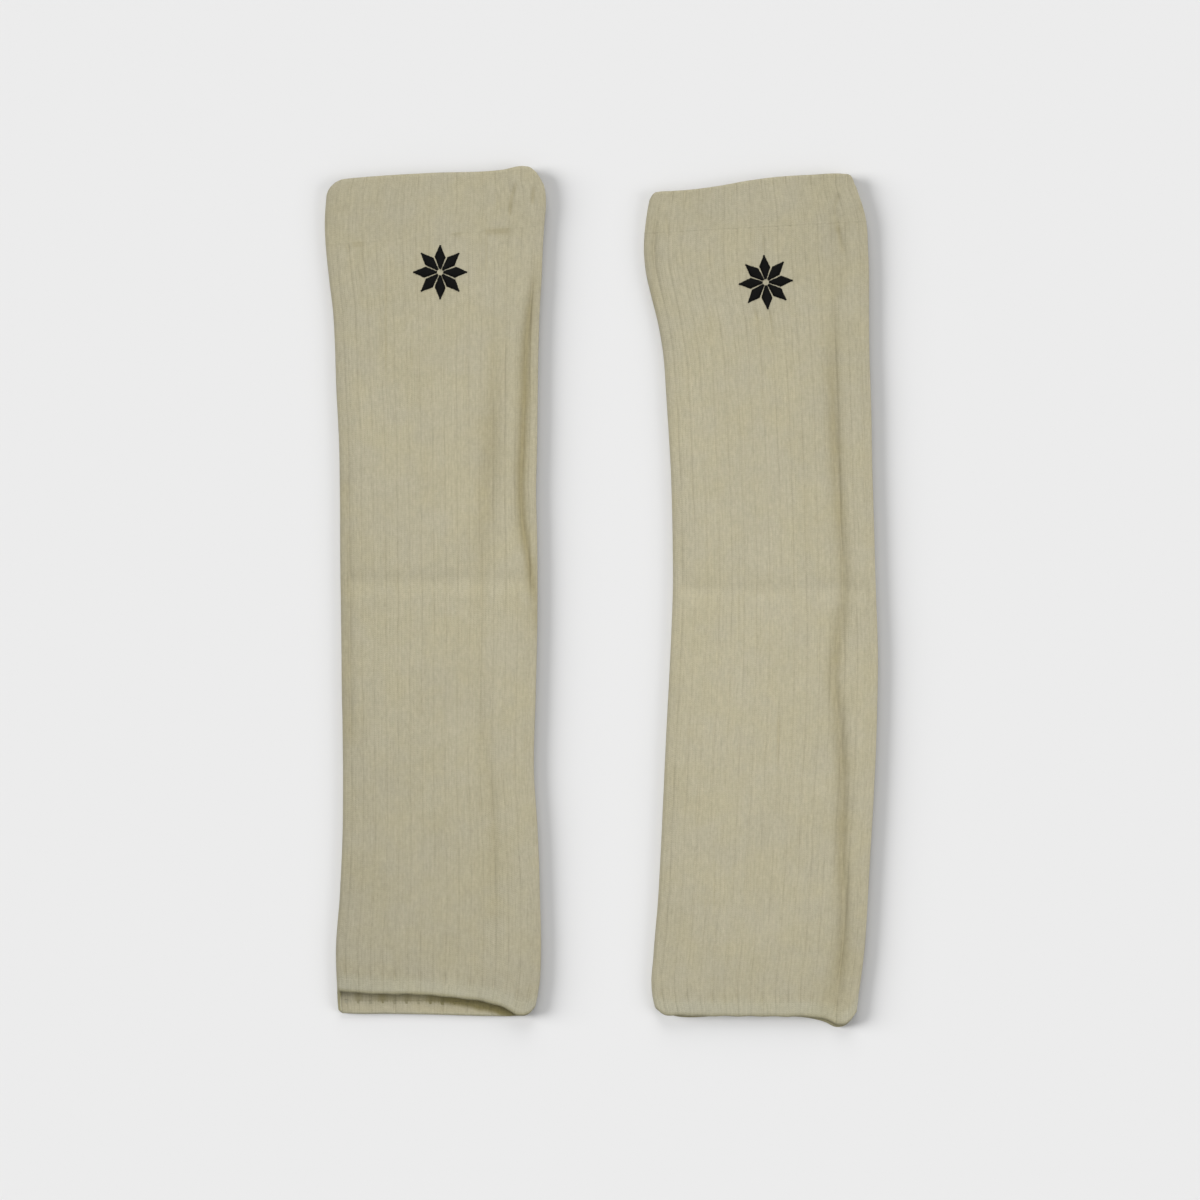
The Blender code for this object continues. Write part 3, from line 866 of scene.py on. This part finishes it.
HEM_TOP_RINGS = ((2.0, -0.35, 0.0), (2.0, -0.6, 0.0))
HEM_ROWS = (Rows(2.13, 2.83, 10),)
HEM_BOTTOM_RINGS = ((3.0, 0.9, 0.0),)
HEM_INNER_ROWS = Rows(2.85, 2.0, 14)
HEM_END_REACH = (0.35, 0.9)
HEM_TAPER_RUN = 0.7
HEM_GROOVE_SHARE = 0.9
HEM_DIP_GAIN = 1.6
HEM_LIFT = 0.3


def spread(rows):
    return np.linspace(rows.start, rows.end, rows.count).tolist()


def outer_rings(top, parts, bottom):
    rings = list(top)
    for rows in parts:
        rings += [(station, 0.0, 0.0) for station in spread(rows)]
    return rings + list(bottom)


def make_cloth(warmer, name, skin, outer, inner, reach, material):
    rings = []
    for station, shift, inset, relief in band_rings(outer, inner, reach):
        rings.append(skin_ring(warmer, skin, station, shift, inset, relief))
    return grid_object(warmer.name + name, rings, knit_columns()[1], material)


def make_body(warmer, material):
    """The ribbed tube. Its inner skin has rows of its own near the packing crease."""
    mean_seam = sum(warmer.welt_seam) / 2
    mean_hem = warmer.front_hem[HEM_MIDDLE_POINT].along + HEM_HEIGHT
    crease = WELT_SEAM_STATION + (mean_seam - warmer.crease) / (mean_seam - mean_hem)
    near_crease = Rows(crease - CREASE_ROWS_REACH, crease + CREASE_ROWS_REACH, CREASE_ROWS)
    stations = set(spread(BODY_INNER_ROWS) + spread(near_crease))
    inner = [(station, BODY_WALL) for station in sorted(stations, reverse=True)]
    outer = outer_rings(BODY_TOP_RINGS, BODY_ROWS, BODY_BOTTOM_RINGS)
    skin = Skin(wall=BODY_WALL, groove=RIB_DEPTH, dip=WALE_DIP, lift=0.0, notch=0.0)
    return make_cloth(warmer, "_body_knit", skin, outer, inner, BODY_END_REACH, material)


def make_welt(warmer, material):
    groove = RIB_DEPTH * WELT_GROOVE_SHARE
    skin = Skin(wall=WELT_WALL, groove=groove, dip=WALE_DIP, lift=1.0, notch=warmer.notch)
    outer = outer_rings(WELT_TOP_RINGS, WELT_ROWS, WELT_BOTTOM_RINGS)
    inner = [(station, WELT_WALL) for station in spread(WELT_INNER_ROWS)]
    return make_cloth(warmer, "_welt_knit", skin, outer, inner, WELT_END_REACH, material)


def make_hem(warmer, material):
    """The cast-off band. Its wall thins towards the body's."""
    groove, dip = RIB_DEPTH * HEM_GROOVE_SHARE, WALE_DIP * HEM_DIP_GAIN
    skin = Skin(wall=HEM_WALL, groove=groove, dip=dip, lift=HEM_LIFT, notch=0.0)
    outer = outer_rings(HEM_TOP_RINGS, HEM_ROWS, HEM_BOTTOM_RINGS)
    inner = []
    for station in spread(HEM_INNER_ROWS):
        taper = float(smooth_step((HEM_INNER_ROWS.start - station) / HEM_TAPER_RUN))
        inner.append((station, HEM_WALL + (BODY_WALL - HEM_WALL) * taper))
    return make_cloth(warmer, "_hem_knit", skin, outer, inner, HEM_END_REACH, material)


# Star of eight lozenges in satin stitch
STAR_RADIUS = 13.5
STAR_POINTS = 8
STAR_CORNER_REACH = 0.60
STAR_CORNER_TURN = 19.0
STAR_INNER_REACH = 0.13
STAR_CLEARANCE = 0.3
STAR_STATION = 1.05
THREAD_PITCH = 0.34
THREAD_RADIUS = 0.21
THREAD_CROWN = 0.45
THREAD_STEPS = 7
THREAD_SIDES = 6
THREAD_LEAST_HALF = 0.25
THREAD_LENGTH_CHANGE = (-0.05, 0.16)
THREAD_SLANT = 0.12
THREAD_SLANT_CHANGE = 0.03
THREAD_RADIUS_CHANGE = 0.1
THREAD_SINK = 0.28
ARCH_POWER = 4
LOW_CROWN_SHARE = 0.45
CROWN_RUN = 3.0
STAR_INNER_TAPER = 0.4


def panel_height(warmer, x, along):
    fold_height = height_at(warmer, STAR_STATION)[0]
    return fold_height - front_sag(warmer, x, along, STAR_STATION, BODY_WALL)


def tube_mesh(paths, radii, sides):
    """Vertices and faces of closed tubes along paths of points, each with its radius at each point."""
    vertices, faces = [], []
    for path, radius in zip(paths, radii):
        start = len(vertices)
        for index, point in enumerate(path):
            ahead = path[min(index + 1, len(path) - 1)] - path[max(index - 1, 0)]
            direction = Vector(ahead).normalized()
            side = direction.cross(Vector((0, 0, 1))).normalized()
            up = side.cross(direction)
            for turn in range(sides):
                angle = 2 * math.pi * turn / sides
                offset = side * math.cos(angle) + up * math.sin(angle)
                vertices.append(Vector(point) + offset * radius[index])
        for index in range(len(path) - 1):
            for turn in range(sides):
                after = (turn + 1) % sides
                low, high = start + index * sides, start + (index + 1) * sides
                faces.append((low + turn, low + after, high + after, high + turn))
        faces.append(tuple(start + turn for turn in reversed(range(sides))))
        last = start + (len(path) - 1) * sides
        faces.append(tuple(last + turn for turn in range(sides)))
    return vertices, faces


def plain_object(name, vertices, faces, material):
    mesh = bpy.data.meshes.new(name)
    mesh.from_pydata([tuple(c * MM for c in v) for v in vertices], [], faces)
    mesh.validate()
    mesh.shade_smooth()
    mesh.materials.append(material)
    piece = bpy.data.objects.new(name, mesh)
    bpy.context.scene.collection.objects.link(piece)
    return piece


def lozenge_half(reach):
    """Half of a lozenge's width at a distance from the star's middle."""
    corner = math.radians(STAR_CORNER_TURN)
    widest = STAR_CORNER_REACH * math.cos(corner) * STAR_RADIUS
    half_width = STAR_CORNER_REACH * math.sin(corner) * STAR_RADIUS
    if reach < widest:
        start = STAR_INNER_REACH * STAR_RADIUS * STAR_INNER_TAPER
        share = (reach - start) / (widest - start)
    else:
        share = (STAR_RADIUS - reach) / (STAR_RADIUS - widest)
    return max(half_width * share, THREAD_LEAST_HALF)


def make_star(warmer, material):
    """Rows of satin threads across each lozenge, arched over the knit."""
    random = np.random.RandomState(warmer.seed)
    arch = 1.0 - (2.0 * np.linspace(0, 1, THREAD_STEPS) - 1.0) ** ARCH_POWER
    first = STAR_INNER_REACH * STAR_RADIUS
    paths, radii = [], []
    for point in range(STAR_POINTS):
        angle = math.radians(360.0 / STAR_POINTS * point + 90.0 + warmer.motif.turn)
        ahead = np.array([math.cos(angle), math.sin(angle)])
        aside = np.array([-ahead[1], ahead[0]])
        for reach in np.arange(first, STAR_RADIUS - THREAD_PITCH / 2, THREAD_PITCH):
            half = lozenge_half(reach)
            lengths = half + random.uniform(*THREAD_LENGTH_CHANGE, 2)
            slant = THREAD_SLANT + random.uniform(-THREAD_SLANT_CHANGE, THREAD_SLANT_CHANGE)
            steps = np.linspace(-lengths[0], lengths[1], THREAD_STEPS)
            flat = np.outer(steps, aside + ahead * slant) + ahead * reach
            x = flat[:, 0] + warmer.motif.across
            along = flat[:, 1] + warmer.motif.along
            crown = THREAD_CROWN * min(1.0, LOW_CROWN_SHARE + half / CROWN_RUN)
            z = panel_height(warmer, x, along) + STAR_CLEARANCE - THREAD_SINK + crown * arch
            paths.append(np.stack([x + warmer.middle, along, z], axis=1))
            change = random.uniform(1.0 - THREAD_RADIUS_CHANGE, 1.0 + THREAD_RADIUS_CHANGE)
            radii.append(np.full(THREAD_STEPS, THREAD_RADIUS * change))
    vertices, faces = tube_mesh(paths, radii, THREAD_SIDES)
    return plain_object(warmer.name + "_star_satin", vertices, faces, material)


class Nodes:
    """Short forms for building a material's node tree."""

    def __init__(self, tree):
        self.tree = tree

    def new(self, kind, **settings):
        node = self.tree.nodes.new(kind)
        for key, value in settings.items():
            setattr(node, key, value)
        return node

    def put(self, socket, value):
        if isinstance(value, (int, float, tuple)):
            socket.default_value = value
        else:
            self.tree.links.new(value, socket)

    def math(self, operation, first, second=0.0, third=0.0):
        node = self.new("ShaderNodeMath", operation=operation)
        for socket, value in zip(node.inputs, (first, second, third)):
            self.put(socket, value)
        return node.outputs[0]

    def times(self, first, second):
        return self.math("MULTIPLY", first, second)

    def less(self, amount, strength):
        """1 less an amount times its strength."""
        return self.math("MULTIPLY_ADD", amount, -strength, 1.0)

    def noise(self, vector, scale, detail=2.0, roughness=0.5):
        node = self.new("ShaderNodeTexNoise")
        self.put(node.inputs["Vector"], vector)
        node.inputs["Scale"].default_value = scale
        node.inputs["Detail"].default_value = detail
        node.inputs["Roughness"].default_value = roughness
        return node.outputs["Fac"]

    def remap(self, value, low, high, out_low, out_high):
        node = self.new("ShaderNodeMapRange")
        for socket, number in zip(node.inputs, (value, low, high, out_low, out_high)):
            self.put(socket, number)
        return node.outputs[0]

    def vector(self, x, y, z=0.0):
        node = self.new("ShaderNodeCombineXYZ")
        for socket, value in zip(node.inputs, (x, y, z)):
            self.put(socket, value)
        return node.outputs[0]

    def value_of(self, attribute):
        return self.new("ShaderNodeAttribute", attribute_name=attribute).outputs["Fac"]

    def tint(self, colour, share, tint):
        """Colour moved towards itself times the tint, by the share."""
        node = self.new("ShaderNodeMix", data_type="RGBA", blend_type="MULTIPLY")
        self.put(node.inputs[0], share)
        self.put(node.inputs[6], colour)
        self.put(node.inputs[7], tint)
        return node.outputs[2]

    def scale_colour(self, colour, factor):
        node = self.new("ShaderNodeVectorMath", operation="SCALE")
        self.put(node.inputs[0], colour)
        self.put(node.inputs["Scale"], factor)
        return node.outputs[0]


def material_start(name):
    material = bpy.data.materials.new(name)
    material.use_nodes = True
    shader = material.node_tree.nodes["Principled BSDF"]
    return material, shader, Nodes(material.node_tree)


# Colour of the knit, and tints by the share that a mesh attribute or a noise gives. The tints for folds
# and for inside the tube are painted shade.
KNIT_ALBEDO = (0.475, 0.438, 0.316)
PALE_TINT = (1.06, 1.09, 1.135, 1.0)
HOLLOW_SHADE_TINT = (0.45, 0.37, 0.10, 1.0)
SLIT_SHADE_TINT = (0.42, 0.385, 0.17, 1.0)
WARM_TINT = (1.01, 1.0, 0.95, 1.0)
SHEEN_TINT = (1.0, 0.97, 0.86, 1.0)
# Strength of the painted highlight on the rims of the folds
RIM_HIGHLIGHT_GAIN = 0.45
KNIT_ROUGHNESS = 0.95
KNIT_SPECULAR = 0.15
KNIT_SHEEN = 0.12
SHEEN_ROUGHNESS = 0.5

# Painted shade that falls off from a point of the pair, across its diagonal and towards the side folds
TONE_CENTRE = (0.05, 0.025, 0.0)
TONE_FALL = 2.2
TONE_TWIST = 1.5
EDGE_TONE = 0.05
EDGE_FALL = 0.3

# Stitches, which sway a little, and the fibre on them; the stitch tone is painted shade, darker on
# their low parts
STITCH_RISE = 0.00028
STITCH_BUMP = 0.42
STITCH_TONE = (0.955, 1.015)
STITCH_CLIMB = 0.55
LEG_ROUNDNESS = 2.5
BAR_ROUNDNESS = 2.0
LOBE_POWER = 0.6
LOBE_SHARE = 0.75
STITCH_SWAY = 0.35
SWAY_SCALE = 90.0
FIBRE_SHARE = 0.35
FIBRE_SCALE = 2600.0

# Painted shade as dark lines between wales and in the ribs' grooves, broken into dashes along the
# courses
GAP_TONE = 0.12
GAP_POWER = 5.0
GROOVE_TONE = 0.045
GROOVE_FALL = 3.0
DASH_COURSES = 0.09
DASH_RANGE = (0.42, 0.68)
DASH_LEAST = 0.1

# Changes of tone by noise over the wales and courses of the map, or over the object in metres
MapNoise = namedtuple("MapNoise", "wales courses detail roughness change")
STREAKS = MapNoise(0.9, 0.045, 3.0, 0.6, 0.03)
SHORT_STREAKS = MapNoise(1.55, 0.22, 2.0, 0.6, 0.06)
PlaceNoise = namedtuple("PlaceNoise", "scale detail roughness change")
BLOTCHES = PlaceNoise(38.0, 3.0, 0.55, 0.025)
GRAIN = PlaceNoise(700.0, 2.0, 0.6, 0.055)
NOISE_RANGE = (0.3, 0.7)
HUE_SCALE = 60.0
HUE_RANGE = (0.35, 0.65)


def rounded_bar(n, phase, power):
    """A bar's height from 0 to 1 over a phase from 0 to 1, rounder for a lower power."""
    from_middle = n.math("ABSOLUTE", n.math("MULTIPLY_ADD", phase, 2.0, -1.0))
    return n.math("SUBTRACT", 1.0, n.math("POWER", from_middle, power))


def stitch_height(n, u, v):
    """Height from 0 to 1 of stocking stitches: V-shaped legs on knit wales, bars on purl ones."""
    shifted = n.math("ADD", u, 0.5)
    wale = n.math("FRACT", shifted)
    number = n.math("FLOORED_MODULO", n.math("FLOOR", shifted), float(WALES_IN_RIB))
    purl = n.math("LESS_THAN", number, 0.5)
    from_middle = n.times(n.math("ABSOLUTE", n.math("SUBTRACT", wale, 0.5)), 2.0)
    leg = n.math("FRACT", n.math("ADD", v, n.times(from_middle, STITCH_CLIMB)))
    lobe = n.math("POWER", n.math("SINE", n.times(from_middle, math.pi)), LOBE_POWER)
    lobe = n.math("MULTIPLY_ADD", lobe, LOBE_SHARE, 1.0 - LOBE_SHARE)
    knit = n.times(rounded_bar(n, leg, LEG_ROUNDNESS), lobe)
    purl_bar = rounded_bar(n, n.math("FRACT", v), BAR_ROUNDNESS)
    keep_knit = n.times(knit, n.math("SUBTRACT", 1.0, purl))
    return n.math("ADD", keep_knit, n.times(purl_bar, purl))


def map_tone(n, u, v, kind):
    scaled = n.vector(n.times(u, kind.wales), n.times(v, kind.courses))
    noise = n.noise(scaled, 1.0, kind.detail, kind.roughness)
    return n.remap(noise, *NOISE_RANGE, 1.0 - kind.change, 1.0 + kind.change)


def place_tone(n, place, kind):
    noise = n.noise(place, kind.scale, kind.detail, kind.roughness)
    return n.remap(noise, *NOISE_RANGE, 1.0 - kind.change, 1.0 + kind.change)


def painted_line_shade(n, u, v):
    """Painted shade as dark lines between wales and in the ribs' grooves, in dashes of uneven strength.
    """
    noise = n.noise(n.vector(u, n.times(v, DASH_COURSES)), 1.0, 2.0, 0.6)
    dash = n.remap(noise, *DASH_RANGE, DASH_LEAST, 1.0)
    wale_edge = n.math("ABSOLUTE", n.math("SUBTRACT", n.math("FRACT", n.math("ADD", u, 0.5)), 0.5))
    gap = n.math("POWER", n.times(wale_edge, 2.0), GAP_POWER)
    rib = n.math("PINGPONG", u, WALES_IN_RIB / 2.0)
    groove = n.math("EXPONENT", n.times(n.times(rib, rib), -GROOVE_FALL))
    return n.times(n.less(n.times(gap, dash), GAP_TONE), n.less(n.times(groove, dash), GROOVE_TONE))


def painted_broad_shade(n, u, place):
    """Painted shade that darkens slowly over the pair and towards the side folds."""
    apart = n.new("ShaderNodeVectorMath", operation="DISTANCE")
    n.put(apart.inputs[0], place)
    apart.inputs[1].default_value = TONE_CENTRE
    distance = apart.outputs["Value"]
    split = n.new("ShaderNodeSeparateXYZ")
    n.put(split.inputs[0], place)
    twist = n.times(split.outputs[0], split.outputs[1])
    tone = n.times(n.less(n.times(distance, distance), TONE_FALL), n.less(twist, TONE_TWIST))
    from_fold = n.math("PINGPONG", u, RIBS_ROUND * WALES_IN_RIB / 4.0)
    return n.times(tone, n.less(n.math("EXPONENT", n.times(from_fold, -EDGE_FALL)), EDGE_TONE))


def knit_material(name):
    """Cream cotton knit: stitches by the wale and course map, fibre grain, streaks, and painted shade
    and highlights.
    """
    material, shader, n = material_start(name)
    split = n.new("ShaderNodeSeparateXYZ")
    n.put(split.inputs[0], n.new("ShaderNodeUVMap", uv_map="knit").outputs[0])
    u, v = split.outputs[0], split.outputs[1]
    place = n.new("ShaderNodeTexCoord").outputs["Object"]
    sway = n.math("MULTIPLY_ADD", n.noise(place, SWAY_SCALE, 1.0), STITCH_SWAY, -STITCH_SWAY / 2)
    stitch = stitch_height(n, n.math("ADD", u, sway), n.math("ADD", v, n.times(sway, 2.0)))
    fibre = n.noise(place, FIBRE_SCALE, 3.0, 0.7)

    bump = n.new("ShaderNodeBump")
    bump.inputs["Strength"].default_value = STITCH_BUMP
    bump.inputs["Distance"].default_value = STITCH_RISE
    n.put(bump.inputs["Height"], n.math("MULTIPLY_ADD", fibre, FIBRE_SHARE, stitch))
    n.put(shader.inputs["Normal"], bump.outputs[0])

    # Painted shade on the stitches' low parts and in dark lines between wales and in the ribs' grooves
    tone = n.times(n.remap(stitch, 0.0, 1.0, *STITCH_TONE), painted_line_shade(n, u, v))
    for kind in (STREAKS, SHORT_STREAKS):
        tone = n.times(tone, map_tone(n, u, v, kind))
    for kind in (BLOTCHES, GRAIN):
        tone = n.times(tone, place_tone(n, place, kind))
    tone = n.times(tone, painted_broad_shade(n, u, place))
    # Painted highlight on the rims of the folds and on the inner skin
    tone = n.times(tone, n.math("MULTIPLY_ADD", n.value_of("rim"), RIM_HIGHLIGHT_GAIN, 1.0))
    colour = n.scale_colour(KNIT_ALBEDO, tone)
    hue = n.remap(n.noise(place, HUE_SCALE, 2.0, 0.55), *HUE_RANGE, 0.0, 1.0)
    colour = n.tint(colour, hue, WARM_TINT)
    # Pale hems, then painted shade in folds, wrinkles and dent-like marks, then painted shade inside
    # the tube and on the front hem's edge
    for key, tint in (("pale", PALE_TINT), ("hollow", HOLLOW_SHADE_TINT), ("slit", SLIT_SHADE_TINT)):
        colour = n.tint(colour, n.value_of(key), tint)
    n.put(shader.inputs["Base Color"], colour)
    shader.inputs["Roughness"].default_value = KNIT_ROUGHNESS
    shader.inputs["Specular IOR Level"].default_value = KNIT_SPECULAR
    shader.inputs["Sheen Weight"].default_value = KNIT_SHEEN
    shader.inputs["Sheen Roughness"].default_value = SHEEN_ROUGHNESS
    shader.inputs["Sheen Tint"].default_value = SHEEN_TINT
    return material


THREAD_ALBEDO = (0.0042, 0.0042, 0.0038)
THREAD_ROUGHNESS = 0.62
THREAD_SPECULAR = 0.10
THREAD_GRAIN_SCALE = 3000.0
THREAD_GRAIN_TONE = (0.6, 1.5)
THREAD_BUMP = 0.3
THREAD_RISE = 0.0001


def thread_material():
    """Black satin thread with a faint fibre grain."""
    material, shader, n = material_start("black_thread")
    place = n.new("ShaderNodeTexCoord").outputs["Object"]
    grain = n.noise(place, THREAD_GRAIN_SCALE, 2.0, 0.6)
    tone = n.remap(grain, *NOISE_RANGE, *THREAD_GRAIN_TONE)
    n.put(shader.inputs["Base Color"], n.scale_colour(THREAD_ALBEDO, tone))
    shader.inputs["Roughness"].default_value = THREAD_ROUGHNESS
    shader.inputs["Specular IOR Level"].default_value = THREAD_SPECULAR
    bump = n.new("ShaderNodeBump")
    bump.inputs["Strength"].default_value = THREAD_BUMP
    bump.inputs["Distance"].default_value = THREAD_RISE
    n.put(bump.inputs["Height"], grain)
    n.put(shader.inputs["Normal"], bump.outputs[0])
    return material


def floor_material():
    material, shader, _ = material_start("pale_floor")
    shader.inputs["Base Color"].default_value = (FLOOR_ALBEDO, FLOOR_ALBEDO, FLOOR_ALBEDO, 1.0)
    shader.inputs["Roughness"].default_value = 1.0
    shader.inputs["Specular IOR Level"].default_value = 0.0
    return material


# Floor, light and camera
FLOOR_ALBEDO = 0.80
FLOOR_SIZE = 8.0
FLOOR_DROP = 0.0003
VIEW_WIDTH = 0.600
VIEW_CENTRE = (-0.00075, -0.00155)
CAMERA_LENS = 180.0
CAMERA_SENSOR = 36.0
WORLD_STRENGTH = 0.305
Sun = namedtuple("Sun", "name azimuth elevation angle strength")
FLOOR_SUNS = (
    Sun("floor_left", 172.0, 23.0, 30.0, 3.60),
    Sun("floor_right", -8.0, 34.0, 36.0, 0.80),
    Sun("floor_top", 95.0, 27.0, 36.0, 1.06),
)
CLOTH_SUNS = (
    Sun("cloth_overhead", 90.0, 84.0, 50.0, 1.32),
    Sun("cloth_top", 74.0, 48.0, 40.0, 1.45),
)


def add_floor():
    bpy.ops.mesh.primitive_plane_add(size=FLOOR_SIZE, location=(0, 0, -FLOOR_DROP))
    floor = bpy.context.object
    floor.name = "floor"
    floor.data.materials.append(floor_material())
    return floor


def add_sun(sun, receivers):
    """A sun that lights the receivers alone. Its azimuth counts from +X towards +Y."""
    light = bpy.data.lights.new(sun.name, "SUN")
    light.energy = sun.strength
    light.angle = math.radians(sun.angle)
    item = bpy.data.objects.new(sun.name, light)
    a, e = math.radians(sun.azimuth), math.radians(sun.elevation)
    towards = Vector((math.cos(a) * math.cos(e), math.sin(a) * math.cos(e), math.sin(e)))
    item.rotation_euler = towards.to_track_quat("Z", "Y").to_euler()
    item.location = towards
    bpy.context.scene.collection.objects.link(item)
    group = bpy.data.collections.new(sun.name + "_receivers")
    for receiver in receivers:
        group.objects.link(receiver)
    item.light_linking.receiver_collection = group


def add_light(floor, cloth):
    world = bpy.data.worlds.new("studio")
    bpy.context.scene.world = world
    world.use_nodes = True
    background = world.node_tree.nodes["Background"]
    background.inputs["Color"].default_value = (1.0, 1.0, 1.0, 1.0)
    background.inputs["Strength"].default_value = WORLD_STRENGTH
    for sun in FLOOR_SUNS:
        add_sun(sun, [floor])
    for sun in CLOTH_SUNS:
        add_sun(sun, cloth)


def add_camera():
    data = bpy.data.cameras.new("camera")
    data.lens = CAMERA_LENS
    data.sensor_width = CAMERA_SENSOR
    distance = VIEW_WIDTH * CAMERA_LENS / CAMERA_SENSOR
    camera = bpy.data.objects.new("camera", data)
    camera.location = (VIEW_CENTRE[0], VIEW_CENTRE[1], distance)
    bpy.context.scene.collection.objects.link(camera)
    bpy.context.scene.camera = camera


def dress(warmer, knit, band, thread):
    body = make_body(warmer, knit)
    welt = make_welt(warmer, band)
    hem = make_hem(warmer, band)
    star = make_star(warmer, thread)
    for piece, node, slot in (
        (body, "_body", "knit"),
        (welt, "_welt", "band"),
        (hem, "_hem", "band"),
        (star, "_star", "thread"),
    ):
        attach(piece, "root")
        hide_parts(warmer.name + node)
    return [body, welt, hem, star]


def main():
    floor = add_floor()
    add_camera()
    bpy.context.scene.view_settings.view_transform = "Standard"
    knit = knit_material("cream_knit")
    band = knit_material("cream_band")
    thread = thread_material()
    cloth = []
    for warmer in (LEFT_WARMER, RIGHT_WARMER):
        cloth += dress(warmer, knit, band, thread)
    add_light(floor, cloth)


main()
